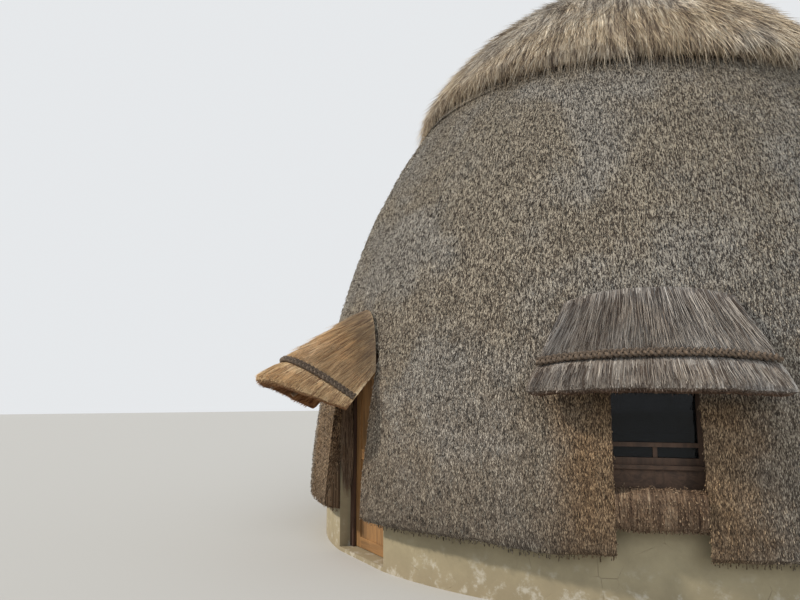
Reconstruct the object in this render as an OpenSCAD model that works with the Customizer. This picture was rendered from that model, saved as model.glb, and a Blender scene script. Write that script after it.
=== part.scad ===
// Beehive-shaped thatched rondavel hut: a low plastered ring wall, a dome of bent poles and hoops,
// a coat of thatch laid in courses, a loose crown cap, and thatched hoods over the door and windows.
// The door faces -Y, the dome's axis is Z and the ground is at z = 0. All sizes are in millimetres.

/* [Dome] */
// Radius of the thatch's outer face at ground level
dome_r = 4050; // [3990:10:4110]
// Radius of the steep lower arc of the dome's outline
lower_arc_r = 9600; // [9300:100:9900]
// Slope angle at which the lower arc ends
lower_arc_a = 22.5; // [22:0.5:24]
// Radius of the shoulder arc
shoulder_arc_r = 6000; // [5800:100:6200]
// Slope angle at which the shoulder arc ends
shoulder_arc_a = 49; // [47:1:51]
// Thickness of the thatch above the wall
thatch_t = 220; // [200:10:240]
// Height of the thatch skirt's lower edge above the ground
skirt_z = 430; // [380:10:480]
// Height of the bevel on the skirt's lower outer edge
skirt_bevel = 60; // [20:5:90]
// Thickness of the loose crown cap at its hem
cap_t = 140; // [100:10:180]
// Thickness of the cap over the crown
cap_crown_t = 230; // [200:10:260]
// Slope angle of the dome at the cap's hem
cap_hem_a = 34; // [32:0.5:36]

/* [Wall and floor] */
// Thickness of the ring wall
wall_t = 190; // [170:5:200]
// Height of the ring wall
wall_h = 900; // [860:10:940]
// Thickness of the floor
floor_t = 40; // [30:5:60]

/* [Pole frame] */
// Number of bent poles, a multiple of eight so that one stands over each opening
pole_count = 24; // [16:8:24]
// Radius of a bent pole
pole_r = 35; // [28:1:38]
// Radius of a hoop
hoop_r = 16; // [12:1:20]
// Distance between hoops along the dome
hoop_pitch = 520; // [420:10:620]
// Radius of the crown ring's outer face
crown_r = 420; // [400:10:480]
// Width of the crown ring
crown_w = 60; // [40:5:80]

/* [Door] */
// Width of the doorway between the wall's ends
door_w = 980; // [940:10:1020]
// Width of the gap in the thatch in front of the doorway
door_gap_w = 840; // [780:10:880]
// Height of the heads of the door and windows
head_z = 2000; // [1960:10:2040]
// How far the door frame stands back from the ring wall's outer face
door_set_back = 150; // [130:5:160]
// Width of a door post
post_w = 60; // [50:5:70]
// Depth of the door frame
post_d = 80; // [70:5:90]
// Height of the door frame's head piece
head_h = 130; // [100:5:160]
// Width of the door stops
stop_w = 16; // [12:1:20]
// Thickness of the door leaf
leaf_t = 45; // [38:1:50]
// Gap around the door leaf
leaf_gap = 8; // [7:1:12]
// Width of the leaf's stiles and rails
stile_w = 105; // [90:5:130]
// Depth of the recess on each face of a door panel
panel_recess = 12; // [6:1:15]
// Height of the middle rail's centre above the ground
mid_rail_z = 990; // [900:10:1100]
// Radius of a hinge pin
pin_r = 6; // [5:0.5:7]
// Radius of a hinge knuckle
knuckle_r = 11; // [10:0.5:13]
// Length of one hinge
hinge_l = 150; // [120:10:180]
// Width of one wing of a hinge
wing_w = 50; // [40:5:56]
// Thickness of a hinge wing
wing_t = 3; // [2:0.5:4]
// Height of the door pull above the ground
pull_z = 1080; // [1000:10:1180]
// Length of the door pull
pull_l = 180; // [140:10:220]
// Radius of the door pull's bar
pull_r = 8; // [6:1:10]
// How far the door pull stands off the leaf
pull_reach = 45; // [35:5:60]

/* [Windows] */
// Angle of each window round the dome from the door
window_az = 45; // [45:15:60]
// Width of the gap in the thatch at a window
window_gap_w = 620; // [580:10:660]
// Width of a window frame
window_w = 700; // [680:10:720]
// How far a window frame stands back from the ring wall's outer face
window_set_back = 80; // [70:5:90]
// Depth of a window frame
window_d = 80; // [60:5:90]
// Width of a window frame's members
window_bar = 50; // [40:5:60]
// Width of the transom and of the short mullion below it
light_bar = 32; // [24:2:40]
// Height of a window's sill above the ground
sill_z = 1090; // [1060:10:1130]
// Thickness of the sill
sill_t = 30; // [20:2:40]
// How far the sill stands out from the window frame
sill_nose = 45; // [30:5:55]
// How far the board below the sill stands out from the window frame
apron_nose = 20; // [10:5:25]
// Height of the transom's centre above the ground
transom_z = 1235; // [1200:5:1290]
// Thickness of the glass
glass_t = 6; // [4:1:8]
// Height of the thatch roll below a window
roll_h = 240; // [200:10:260]
// Thickness of the thatch roll
roll_t = 180; // [150:10:190]
// Distance from the top of the thatch roll to the top of the wall
roll_drop = 30; // [10:5:60]

/* [Hoods] */
// Thickness of the hoods' thatch
hood_t = 130; // [110:5:150]
// Thickness of the hoods' feathered top edge
feather_t = 25; // [15:5:35]
// Depth of the groove that takes the rope binding
groove_d = 28; // [22:1:34]
// Radius of the rope binding
binding_r = 26; // [20:1:32]
// Radius of the rafters under the hoods
rafter_r = 22; // [18:1:26]
// Half the width of the porch hood at its top edge
porch_top_w = 470; // [450:10:520]
// Half the width of the porch hood at its lip
porch_lip_w = 520; // [490:10:580]
// Height of the middle of the porch hood's top edge
porch_top_z = 2470; // [2430:10:2530]
// Height of the middle of the porch hood's lip
porch_lip_z = 1760; // [1730:10:1800]
// How far the porch hood's top edge falls to its ends
porch_top_fall = 640; // [580:20:700]
// How far the porch hood's lip falls to its ends
porch_lip_fall = 270; // [230:10:300]
// Power by which the porch hood's edges droop from their middle to their ends
porch_droop = 2.2; // [1.8:0.1:2.6]
// How far the middle of the porch hood's lip stands out from the dome
porch_out = 990; // [940:5:1040]
// How far the ends of the porch hood's lip stand out from the dome
porch_end_out = 280; // [250:5:330]
// Place of the porch hood's binding, as a share of its slope
porch_bind_v = 0.75; // [0.72:0.01:0.8]
// Half the width of a window hood at its top edge
eyelid_top_w = 620; // [580:10:660]
// Half the width of a window hood at its lip
eyelid_lip_w = 920; // [880:10:960]
// Height of the middle of a window hood's top edge
eyelid_top_z = 2420; // [2380:10:2460]
// Height of the middle of a window hood's lip
eyelid_lip_z = 1660; // [1630:10:1700]
// How far a window hood's top edge falls to its ends
eyelid_top_fall = 90; // [40:10:140]
// How far a window hood's lip falls to its ends
eyelid_lip_fall = 30; // [0:10:60]
// Power by which a window hood's edges droop from their middle to their ends
eyelid_droop = 2.5; // [2:0.1:3]
// How far the middle of a window hood's lip stands out from the dome
eyelid_out = 379; // [340:10:420]
// How far the ends of a window hood's lip stand out from the dome
eyelid_end_out = 236; // [210:10:270]
// Place of a window hood's binding, as a share of its slope
eyelid_bind_v = 0.69; // [0.64:0.01:0.74]
// Place where the porch hood's rafters leave the dome, as a share of its slope
porch_rafter_v = 0.3; // [0.26:0.01:0.4]
// Place where a window hood's rafters leave the dome, as a share of its slope
eyelid_rafter_v = 0.62; // [0.6:0.01:0.68]

/* [Hidden] */

// Facets of round things in a preview: large ones, then poles, pins and other small ones
$fn = 240;
fine = 48;
// Flat sides of the hoops, which are saplings split and shaved by hand
hoop_sides = 8;

// Lengths that the ring wall is built in, and panels of thatch behind the windows
wall_lengths = 6;
back_panels = 4;

// Clearance between neighbouring pieces that lie against each other
fit = 0.3;
// Clearance between the hoops and the poles and thatch that they lie against
hoop_fit = 0.6;
// Clearance under the hoods, whose flat facets lie on the round dome
hood_fit = 0.5;
// Clearance of a rope binding in its groove
groove_fit = 0.88;
// Radial clearance of a hinge pin in its knuckle
pin_fit = 0.1;
// Clearance between the heads of the openings and the first full ring of thatch
head_fit = 10;
// Gap between the two knuckles of a hinge
knuckle_fit = 0.5;
// Clearance between the door leaf and its stops
stop_gap = 6;
// Distance from the leaf's ends to the middles of its hinges
hinge_inset = 260;
// Clearance between a hoop and the wall, the frames and the crown ring
hoop_clear = 2 * hoop_r;
// How far a cutter runs past what it cuts
past = 300;

// The cap's blunt hem, as shares of the cap's thickness: how far its outer edge rises, and how far
// out its tip and its inner edge lie
hem_rise = 0.25;
hem_tip = 0.6;
hem_inner = 0.17;
// Slope angle over which the cap thickens from its hem
cap_swell_a = 15;

// Place of the roundest part of a hood's lip, between its binding and its lower edge
lip_bend_v = 0.6;
// Place where a hood's underside ends, as a share of its slope
under_v = 0.98;
// How far a hood's upper face is rounded down at the lip
lip_round = 20;
// Height that a hood's top edge keeps above the dome
feather_min = feather_t / 2;
// Steps along a hood's width and its slope above the binding
hood_steps = 28;
slope_steps = 6;
// Sides of a rope or rafter
tube_sides = 8;
// Place where the rafters end, as a share of a hood's slope
rafter_end_v = 0.94;
// Places of the rafters across a hood, from -1 to 1
porch_rafter_places = [-0.7, 0, 0.7];
eyelid_rafter_places = [-0.6, 0, 0.6];
// Step for measuring a hood's directions
nudge = 0.01;

// Colours of the real materials
plaster_colour = [0.72, 0.66, 0.5];
earth_colour = [0.55, 0.46, 0.36];
pole_colour = [0.42, 0.32, 0.22];
thatch_colour = [0.56, 0.48, 0.38];
cap_colour = [0.66, 0.55, 0.38];
hood_colour = [0.7, 0.54, 0.34];
rope_colour = [0.36, 0.27, 0.2];
door_colour = [0.56, 0.36, 0.17];
frame_colour = [0.27, 0.18, 0.15];
iron_colour = [0.2, 0.19, 0.18];
glass_colour = [0.1, 0.13, 0.18, 0.6];

// The dome's outline is three arcs that run into each other without a corner: lower wall, shoulder
// and crown. Each is [centre, radius, first slope angle, last slope angle, number of chords].
lower_centre = [dome_r - lower_arc_r, 0];
shoulder_centre = lower_centre
    + (lower_arc_r - shoulder_arc_r) * [cos(lower_arc_a), sin(lower_arc_a)];
crown_arc_r = shoulder_arc_r + shoulder_centre.x / cos(shoulder_arc_a);
crown_centre = shoulder_centre
    + (shoulder_arc_r - crown_arc_r) * [cos(shoulder_arc_a), sin(shoulder_arc_a)];
crown_a = 90;
dome_arcs = [
    [lower_centre, lower_arc_r, 0, lower_arc_a, 12],
    [shoulder_centre, shoulder_arc_r, lower_arc_a, shoulder_arc_a, 8],
    [crown_centre, crown_arc_r, shoulder_arc_a, crown_a, 10]
];
function arc_at(a) = a < lower_arc_a ? dome_arcs[0] : a < shoulder_arc_a ? dome_arcs[1] : dome_arcs[2];
function chord_a(arc) = (arc[3] - arc[2]) / arc[4];
// Point of the outline at slope angle a and distance o outside it, as [radius, height]
function dome_pt(a, o = 0, swell = 1) =
    let (arc = arc_at(a)) arc[0] + (arc[1] + o) * swell * [cos(a), sin(a)];
// Slope angles at which the outline's chords meet
corner_angles = [for (arc = dome_arcs) for (i = [0 : arc[4] - 1]) arc[2] + i * chord_a(arc)];
// Outline from a0 to a1, with its corners on the arcs, for faces that other thatch lies on
function outline(a0, a1, o) =
    [for (a = concat([a0], [for (c = corner_angles) if (c > a0 && c < a1) c], [a1])) dome_pt(a, o)];
// The same with its chords just clear of the arcs, for inner faces that lie on round hoops
function outline_clear(a0, a1, o) =
    [for (a = concat([a0], [for (c = corner_angles) if (c > a0 && c < a1) c], [a1]))
        dome_pt(a, o, 1 / cos(chord_a(arc_at(a)) / 2))];
// Angle that the clearance between two neighbouring lengths takes up at radius r
function seam_a(r) = fit / r * 180 / PI;
function reversed(list) = [for (i = [len(list) - 1 : -1 : 0]) list[i]];
// Slope angle of the lower arc at height z and distance o outside it
function slope_at_z(z, o) = asin(z / (lower_arc_r + o));
// Slope angle that lies a length l along the layer o outside the outline, measured from angle a0
function slope_along(a0, l, o) =
    let (arc = arc_at(a0), r = arc[1] + o, rest = (arc[3] - a0) * r * PI / 180)
    l <= rest || arc[3] >= crown_a ? a0 + l / r * 180 / PI : slope_along(arc[3], l - rest, o);
function length_along(a0, a1, o) =
    let (arc = arc_at(a0), r = arc[1] + o)
    a1 <= arc[3] || arc[3] >= crown_a ? (a1 - a0) * r * PI / 180
        : (arc[3] - a0) * r * PI / 180 + length_along(arc[3], a1, o);

// Layers under the thatch, as distances from the outline to their middles
hoop_o = -(thatch_t + hoop_fit + hoop_r);
pole_o = hoop_o - hoop_r - hoop_fit - pole_r;
pole_foot_a = asin(wall_h / (lower_arc_r + pole_o - pole_r));
pole_head_a = asin(head_z / (lower_arc_r + pole_o - pole_r));
pole_end_a = acos(crown_r / (crown_arc_r + pole_o));
ring_a = slope_at_z(head_z + head_fit, -thatch_t);
ring_gap_a = seam_a(shoulder_arc_r);
shoulder_mid_a = (lower_arc_a + shoulder_arc_a) / 2;

// The wall stands under the thatch's inner face, and the frames stand back from the wall's face
wall_r = dome_r - thatch_t;
door_face_r = wall_r - door_set_back;
window_face_r = wall_r - window_set_back;

// Door
door_back_y = -(door_face_r - post_d);
leaf_w = door_w - 2 * fit - 2 * post_w - 2 * leaf_gap;
leaf_z0 = floor_t + leaf_gap;
leaf_z1 = head_z - head_h - leaf_gap;
leaf_x0 = -leaf_w / 2;
pin_x = leaf_x0 - leaf_gap / 2;
pin_y = door_back_y + knuckle_r;
hinge_zs = [leaf_z0 + hinge_inset, leaf_z1 - hinge_inset];

// Windows
sill_front_r = window_face_r + sill_nose;

module sector(az0, az1) {
    rotate([0, 0, az0 - 90]) rotate_extrude(angle = az1 - az0) children();
}
// Box centred on x, from y0 to y1 and z0 to z1
module block(w, y0, y1, z0, z1) {
    translate([-w / 2, y0, z0]) cube([w, y1 - y0, z1 - z0]);
}

// Takes what is drawn facing -Y to the place of a window, right (+1) or left (-1) of the door
module at_window(side) {
    rotate([0, 0, side * window_az]) children();
}

// The floor, cut off straight behind the door frame
module floor_slab() {
    color(earth_colour) difference() {
        cylinder(r = wall_r - wall_t - fit, h = floor_t);
        block(2 * wall_r, -wall_r, door_back_y + fit, -past, floor_t + past);
    }
}

// The threshold between the wall's ends
module door_threshold() {
    front_y = -sqrt(pow(wall_r, 2) - pow(door_w / 2, 2));
    color(plaster_colour) block(door_w - 2 * fit, front_y, door_back_y, 0, floor_t);
}

// One length of the ring wall, cut off square at the doorway
module ring_wall(i) {
    turn = 360 / wall_lengths;
    color(plaster_colour) difference() {
        sector((i - 1) * turn + seam_a(wall_r), i * turn) translate([wall_r - wall_t, 0]) square([wall_t, wall_h]);
        if (i == 1 || i == wall_lengths) block(door_w, -wall_r - past, 0, -past, wall_h + past);
    }
}

// Slope angle at which the pole in direction az starts: on the wall, or over a door or window
function pole_start_a(az) =
    az == 0 || az == window_az || az == 360 - window_az ? pole_head_a : pole_foot_a;

// One bent pole along one arc of the dome, in the plane of X and Z, its foot just clear of what is
// below it
module pole_bend(arc, a0, a1) {
    bend_r = arc[1] + pole_o;
    foot_a = seam_a(bend_r);
    translate([arc[0].x, 0, arc[0].y]) rotate([90, 0, 0]) rotate([0, 0, a0 + foot_a])
        rotate_extrude(angle = a1 - a0 - foot_a) translate([bend_r, 0]) circle(pole_r, $fn = fine);
}

// Rows of three poles butted end to end, from the wall's top to the crown ring
module bent_poles() {
    color(pole_colour) for (i = [0 : pole_count - 1]) {
        az = i * 360 / pole_count;
        rotate([0, 0, az - 90]) {
            pole_bend(dome_arcs[0], pole_start_a(az), lower_arc_a);
            pole_bend(dome_arcs[1], lower_arc_a, shoulder_arc_a);
            pole_bend(dome_arcs[2], shoulder_arc_a, pole_end_a);
        }
    }
}

// Half the angle that the lower hoops leave free at an opening of width w
function hoop_gap_a(w) = asin((w / 2 + hoop_clear) / (wall_r - wall_t));
// Section of a hoop at slope angle a, one of its corners against the poles
module hoop_at(a) {
    translate(dome_pt(a, hoop_o)) rotate(a) circle(hoop_r, $fn = hoop_sides);
}
// The hoops tied round the poles, broken at the door and windows up to their heads
module hoops() {
    first_a = slope_at_z(wall_h + hoop_r + hoop_clear, hoop_o);
    run = length_along(first_a, pole_end_a, hoop_o) - hoop_clear;
    door_a = hoop_gap_a(door_w);
    side_a = hoop_gap_a(window_w);
    color(pole_colour) for (l = [0 : hoop_pitch : run]) {
        a = slope_along(first_a, l, hoop_o);
        if (dome_pt(a, hoop_o).y - hoop_r > head_z + fit)
            rotate_extrude() hoop_at(a);
        else {
            sector(door_a, window_az - side_a) hoop_at(a);
            sector(window_az + side_a, 360 - window_az - side_a) hoop_at(a);
            sector(360 - window_az + side_a, 360 - door_a) hoop_at(a);
        }
    }
}

// The ring that the poles' upper ends meet
module crown_ring() {
    gap_a = seam_a(crown_arc_r + pole_o);
    inner_a = acos((crown_r - crown_w) / (crown_arc_r + pole_o));
    color(pole_colour) rotate_extrude() polygon([
        dome_pt(pole_end_a + gap_a, pole_o - pole_r), dome_pt(pole_end_a + gap_a, pole_o + pole_r),
        dome_pt(inner_a, pole_o + pole_r), dome_pt(inner_a, pole_o - pole_r)
    ]);
}

// Section of the lowest thatch: a skirt in front of the wall, then the dome's coat above it
module skirt_section() {
    foot_r = wall_r + fit;
    top_z = wall_h + fit;
    bevel_a = slope_at_z(skirt_z + skirt_bevel, 0);
    inner_a = slope_at_z(top_z, -thatch_t);
    polygon(concat(
        [[foot_r, skirt_z], [dome_pt(bevel_a).x - skirt_bevel, skirt_z]],
        outline(bevel_a, ring_a, 0),
        reversed(outline_clear(inner_a, ring_a, -thatch_t)),
        [[dome_pt(inner_a, -thatch_t).x, top_z], [foot_r, top_z]]
    ));
}
// What the doorway takes out of the thatch: a narrow gap outside and the frame's width inside
module door_gap() {
    block(door_gap_w, -dome_r - past, 0, -past, head_z + past);
    block(door_w + 2 * fit, -door_face_r - fit, 0, -past, head_z + past);
}
// What a window takes out of the thatch
module window_gap() {
    block(window_gap_w, -dome_r - past, 0, -past, head_z + past);
    block(window_w + 2 * fit, -sill_front_r - fit, 0, -past, head_z + past);
}
module thatch_front(side) {
    az0 = side > 0 ? 0 : 360 - window_az;
    color(thatch_colour) difference() {
        sector(az0 + seam_a(wall_r), az0 + window_az) skirt_section();
        door_gap();
        at_window(side) window_gap();
    }
}
module thatch_back(i) {
    turn = (360 - 2 * window_az) / back_panels;
    az0 = window_az + (i - 1) * turn;
    color(thatch_colour) difference() {
        sector(az0 + seam_a(wall_r), az0 + turn) skirt_section();
        if (i == 1) at_window(1) window_gap();
        if (i == back_panels) at_window(-1) window_gap();
    }
}
// A full ring of thatch from slope angle a0 to a1
module thatch_ring(a0, a1) {
    color(thatch_colour) rotate_extrude() polygon(concat(
        outline(a0 + ring_gap_a, a1, 0),
        reversed(outline_clear(a0 + ring_gap_a, a1, -thatch_t))
    ));
}
// Thickness of the cap at slope angle a
function cap_t_at(a) = mix(cap_t, cap_crown_t, sin(90 * min((a - cap_hem_a) / cap_swell_a, 1)));
// The loose cap over the crown, with a blunt shaggy hem
module crown_cap() {
    hem_a = hem_rise * cap_t / shoulder_arc_r * 180 / PI;
    first_a = cap_hem_a + hem_a;
    color(cap_colour) rotate_extrude() polygon(concat(
        [dome_pt(cap_hem_a, hem_tip * cap_t), dome_pt(first_a, cap_t)],
        [for (a = corner_angles) if (a > first_a) dome_pt(a, cap_t_at(a))],
        [dome_pt(crown_a, cap_crown_t)],
        reversed(outline(first_a, crown_a, fit)),
        [dome_pt(cap_hem_a + hem_a / 2, hem_inner * cap_t)]
    ));
}

// The door frame stands on the threshold between the wall's ends
module door_frame() {
    inside_w = door_w - 2 * fit - 2 * post_w;
    stop_back_y = door_back_y - leaf_t - stop_gap;
    color(frame_colour) difference() {
        block(door_w - 2 * fit, -door_face_r, door_back_y, floor_t, head_z);
        block(inside_w, -door_face_r - past, door_back_y + past, floor_t - past, head_z - head_h);
    }
    color(frame_colour) difference() {
        block(inside_w, -door_face_r, stop_back_y, floor_t, head_z - head_h);
        block(inside_w - 2 * stop_w, -door_face_r - past, stop_back_y + past,
            floor_t - past, head_z - head_h - stop_w);
    }
}
// A rail-and-stile leaf with a recessed panel above and below the middle rail
module door_leaf() {
    y0 = door_back_y - leaf_t;
    color(door_colour) difference() {
        block(leaf_w, y0, door_back_y, leaf_z0, leaf_z1);
        for (z = [[leaf_z0 + stile_w, mid_rail_z - stile_w / 2],
                  [mid_rail_z + stile_w / 2, leaf_z1 - stile_w]]) {
            block(leaf_w - 2 * stile_w, y0 - past, y0 + panel_recess, z[0], z[1]);
            block(leaf_w - 2 * stile_w, door_back_y - panel_recess, door_back_y + past, z[0], z[1]);
        }
    }
}
// Lower knuckles with their pins and wings, on the frame
module hinge_pins() {
    color(iron_colour) for (z = hinge_zs) {
        half = hinge_l / 2;
        translate([pin_x, pin_y, z - half]) cylinder(r = knuckle_r, h = half - knuckle_fit / 2, $fn = fine);
        translate([pin_x, pin_y, z - half]) cylinder(r = pin_r, h = hinge_l, $fn = fine);
        translate([pin_x - wing_w, door_back_y, z - half])
            cube([wing_w, wing_t, half - knuckle_fit / 2]);
    }
}
// Upper knuckles with their wings, on the leaf
module hinge_wings() {
    color(iron_colour) for (z = hinge_zs) {
        half = hinge_l / 2;
        z0 = z + knuckle_fit / 2;
        difference() {
            union() {
                translate([pin_x, pin_y, z0]) cylinder(
                    r = knuckle_r, h = half - knuckle_fit / 2, $fn = fine);
                translate([pin_x, door_back_y, z0]) cube([wing_w, wing_t, half - knuckle_fit / 2]);
            }
            translate([pin_x, pin_y, z0 - past])
                cylinder(r = pin_r + pin_fit, h = half + 2 * past, $fn = fine);
        }
    }
}
// A plain iron pull on both faces of the leaf
module door_pull() {
    x = leaf_w / 2 - stile_w / 2;
    for (face = [[door_back_y - leaf_t, -1], [door_back_y, 1]])
        color(iron_colour) translate([x, face[0], pull_z]) union() {
            for (end = [-1, 1]) translate([0, 0, end * (pull_l / 2 - pull_r)])
                rotate([-90 * face[1], 0, 0]) cylinder(r = pull_r, h = pull_reach, $fn = fine);
            translate([0, face[1] * pull_reach, -pull_l / 2]) cylinder(r = pull_r, h = pull_l, $fn = fine);
        }
}

// A window frame with a transom, and a short mullion in the low light below it
module window_frame(side) {
    y0 = -window_face_r;
    y1 = -window_face_r + window_d;
    clear_w = window_w - 2 * window_bar;
    low_z0 = sill_z + window_bar;
    color(frame_colour) at_window(side) {
        difference() {
            block(window_w, y0, y1, sill_z, head_z);
            block(clear_w, y0 - past, y1 + past, low_z0, transom_z - light_bar / 2);
            block(clear_w, y0 - past, y1 + past, transom_z + light_bar / 2, head_z - window_bar);
        }
        block(light_bar, y0 + apron_nose, y1, low_z0, transom_z - light_bar / 2);
    }
}
// Three panes, each in its own light
module window_glass(side) {
    mid_y = -window_face_r + window_d / 2;
    clear_w = window_w - 2 * window_bar;
    low_w = (clear_w - light_bar) / 2;
    low_z0 = sill_z + window_bar;
    color(glass_colour) at_window(side) {
        block(clear_w - 2 * fit, mid_y - glass_t / 2, mid_y + glass_t / 2,
            transom_z + light_bar / 2 + fit, head_z - window_bar - fit);
        for (s = [-1, 1]) translate([s * (light_bar + low_w) / 2, 0, 0])
            block(low_w - 2 * fit, mid_y - glass_t / 2, mid_y + glass_t / 2,
                low_z0 + fit, transom_z - light_bar / 2 - fit);
    }
}
// The board on the wall's top and the sill on it
module window_sill(side) {
    back_y = -window_face_r + window_d;
    color(frame_colour) at_window(side) {
        block(window_w, -window_face_r - apron_nose, back_y, wall_h, sill_z - sill_t);
        block(window_w, -sill_front_r, back_y, sill_z - sill_t, sill_z);
    }
}
// A roll of thatch across the gap, hung against the wall below the window
module thatch_roll(side) {
    top_z = wall_h - roll_drop;
    mid_r = wall_r + fit + roll_t / 2;
    round_r = roll_t / 2;
    color(thatch_colour) at_window(side) intersection() {
        rotate([0, 0, -90 - window_az / 2]) rotate_extrude(angle = window_az) union() {
            translate([mid_r - round_r, top_z - roll_h + round_r]) square([roll_t, roll_h - roll_t]);
            for (z = [top_z - roll_h + round_r, top_z - round_r])
                translate([mid_r, z]) circle(round_r, $fn = fine);
        }
        block(window_gap_w - 2 * fit, -dome_r - past, 0, 0, wall_h);
    }
}

// A hood's nominal surface: s runs across it from -1 to 1 and v down it from 0 at the dome to 1 at
// its lip. A hood is [half width, height, fall to the ends] at the top edge, the same at the lip with
// how far its middle and its ends stand out from the dome, then the places of its binding and of its
// rafters' upper ends, and the power by which its edges droop.
function off_dome(p) = norm([norm([p.x, p.y]) - lower_centre.x, p.z]) - lower_arc_r;
function reach_at(z, o) = lower_centre.x + sqrt(pow(lower_arc_r + o, 2) - pow(z, 2));
function mix(a, b, t) = a + (b - a) * t;
function hood_pt(h, s, v) =
    let (drop = pow(abs(s), h[4]),
         z = mix(h[0][1] - h[0][2] * drop, h[1][1] - h[1][2] * drop, v),
         r = reach_at(z, mix(feather_t, mix(h[1][3], h[1][4], s * s), v)),
         x = s * mix(h[0][0], h[1][0], v))
    [x, -sqrt(r * r - x * x), z];
function unit(p) = p / norm(p);
function across(h, s, v) = unit(hood_pt(h, s + nudge, v) - hood_pt(h, s - nudge, v));
function down(h, s, v) = unit(hood_pt(h, s, v + nudge) - hood_pt(h, s, v - nudge));
function outward(h, s, v) = unit(cross(down(h, s, v), across(h, s, v)));
// Point at depth d below the hood's surface, kept at least o clear of the dome
function hood_depth(h, s, v, d, o) =
    let (p = hood_pt(h, s, v) - d * outward(h, s, v),
         k = reach_at(p.z, o) / norm([p.x, p.y]))
    off_dome(p) < o ? [p.x * k, p.y * k, p.z] : p;
function slope_length(h, s) = norm(hood_pt(h, s, 1) - hood_pt(h, s, 0));
// Half the width of the binding's groove, as a share of the slope
function half_groove_v(h, s) = (binding_r + 2 * groove_fit) / slope_length(h, s);
// Upper and lower edge of a hood's section at s, as pairs of v and depth
function hood_upper(h, s) =
    let (b = h[2], g = half_groove_v(h, s))
    concat([for (i = [0 : slope_steps]) [(b - g) * i / slope_steps, 0]],
        [[b - g, groove_d], [b + g, groove_d], [b + g, 0], [mix(b + g, 1, lip_bend_v), 0], [1, lip_round]]);
function hood_lower(h, s) = [for (v = under_places(h, s)) [v, hood_t]];
function under_places(h, s) =
    let (b = h[2], g = half_groove_v(h, s))
    concat([for (i = [0 : slope_steps]) (b - g) * i / slope_steps],
        [b - g / 3, b + g / 3, b + g, mix(b + g, 1, lip_bend_v), under_v]);
hood_ss = [for (i = [0 : hood_steps]) -1 + 2 * i / hood_steps];

// Closed skin over rings of points, each ring an upper edge followed by its lower edge reversed
module loft(rings) {
    n = len(rings[0]);
    m = len(rings);
    half = n / 2;
    polyhedron(
        points = [for (ring = rings) each ring],
        faces = concat(
            [for (j = [0 : m - 2], i = [0 : n - 1], t = [0, 1])
                let (a = j * n + i, b = j * n + (i + 1) % n)
                t == 0 ? [a, b, b + n] : [a, b + n, a + n]],
            [for (i = [0 : half - 2], t = [0, 1])
                t == 0 ? [i, n - 1 - i, i + 1] : [i + 1, n - 1 - i, n - 2 - i]],
            [for (i = [0 : half - 2], t = [0, 1]) let (e = (m - 1) * n)
                t == 0 ? [e + i, e + i + 1, e + n - 1 - i]
                    : [e + i + 1, e + n - 2 - i, e + n - 1 - i]]
        )
    );
}
module hood(h) {
    loft([for (s = hood_ss) concat(
        [for (p = hood_upper(h, s)) hood_depth(h, s, p[0], p[1], feather_min)],
        reversed([for (p = hood_lower(h, s)) hood_depth(h, s, p[0], p[1], hood_fit)])
    )]);
}
// Ring of points of radius r round c, in the plane of the directions u and w
function ring_at(c, u, w, r) =
    [for (i = [0 : tube_sides - 1]) let (t = 360 * i / tube_sides) c + r * (cos(t) * u + sin(t) * w)];
// The plaited rope that lies in the hood's groove
module binding(h) {
    depth = groove_d - binding_r - groove_fit;
    loft([for (s = hood_ss) ring_at(
        hood_depth(h, s, h[2], depth, 0), outward(h, s, h[2]), down(h, s, h[2]), binding_r)]);
}
// Rafters under the hood, from the dome to just inside the lip. Each lies under one of the rings of
// the hood's section, and bends where the hood's underside does.
module rafters(h, places) {
    o = rafter_r + hood_fit;
    for (place = places) {
        s = hood_ss[round((place + 1) * hood_steps / 2)];
        bends = [for (v = under_places(h, s)) if (v > h[3] + nudge && v < rafter_end_v - nudge) v];
        loft([for (v = concat([h[3]], bends, [rafter_end_v]))
            ring_at(hood_depth(h, s, v, hood_t + o, o), outward(h, s, v),
                cross(down(h, s, v), outward(h, s, v)), rafter_r)]);
    }
}
porch = [
    [porch_top_w, porch_top_z, porch_top_fall],
    [porch_lip_w, porch_lip_z, porch_lip_fall, porch_out, porch_end_out],
    porch_bind_v, porch_rafter_v, porch_droop
];
eyelid = [
    [eyelid_top_w, eyelid_top_z, eyelid_top_fall],
    [eyelid_lip_w, eyelid_lip_z, eyelid_lip_fall, eyelid_out, eyelid_end_out],
    eyelid_bind_v, eyelid_rafter_v, eyelid_droop
];

module porch_hood() color(hood_colour) hood(porch);
module porch_binding() color(rope_colour) binding(porch);
module porch_rafters() color(pole_colour) rafters(porch, porch_rafter_places);
module window_hood(side) color(hood_colour) at_window(side) hood(eyelid);
module window_binding(side) color(rope_colour) at_window(side) binding(eyelid);
module window_rafters(side) color(pole_colour) at_window(side) rafters(eyelid, eyelid_rafter_places);

floor_slab();
door_threshold();
ring_wall(1);  // ring_wall_1
ring_wall(2);  // ring_wall_2
ring_wall(3);  // ring_wall_3
ring_wall(4);  // ring_wall_4
ring_wall(5);  // ring_wall_5
ring_wall(6);  // ring_wall_6
bent_poles();
hoops();
crown_ring();
thatch_front(1);  // thatch_front_right
thatch_front(-1);  // thatch_front_left
thatch_back(1);  // thatch_back_1
thatch_back(2);  // thatch_back_2
thatch_back(3);  // thatch_back_3
thatch_back(4);  // thatch_back_4
thatch_ring(ring_a, lower_arc_a);  // thatch_ring_1
thatch_ring(lower_arc_a, shoulder_mid_a);  // thatch_ring_2
thatch_ring(shoulder_mid_a, shoulder_arc_a);  // thatch_ring_3
thatch_ring(shoulder_arc_a, crown_a);  // thatch_crown
crown_cap();
door_frame();
hinge_pins();
door_leaf();
hinge_wings();
door_pull();
porch_hood();
porch_binding();
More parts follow.
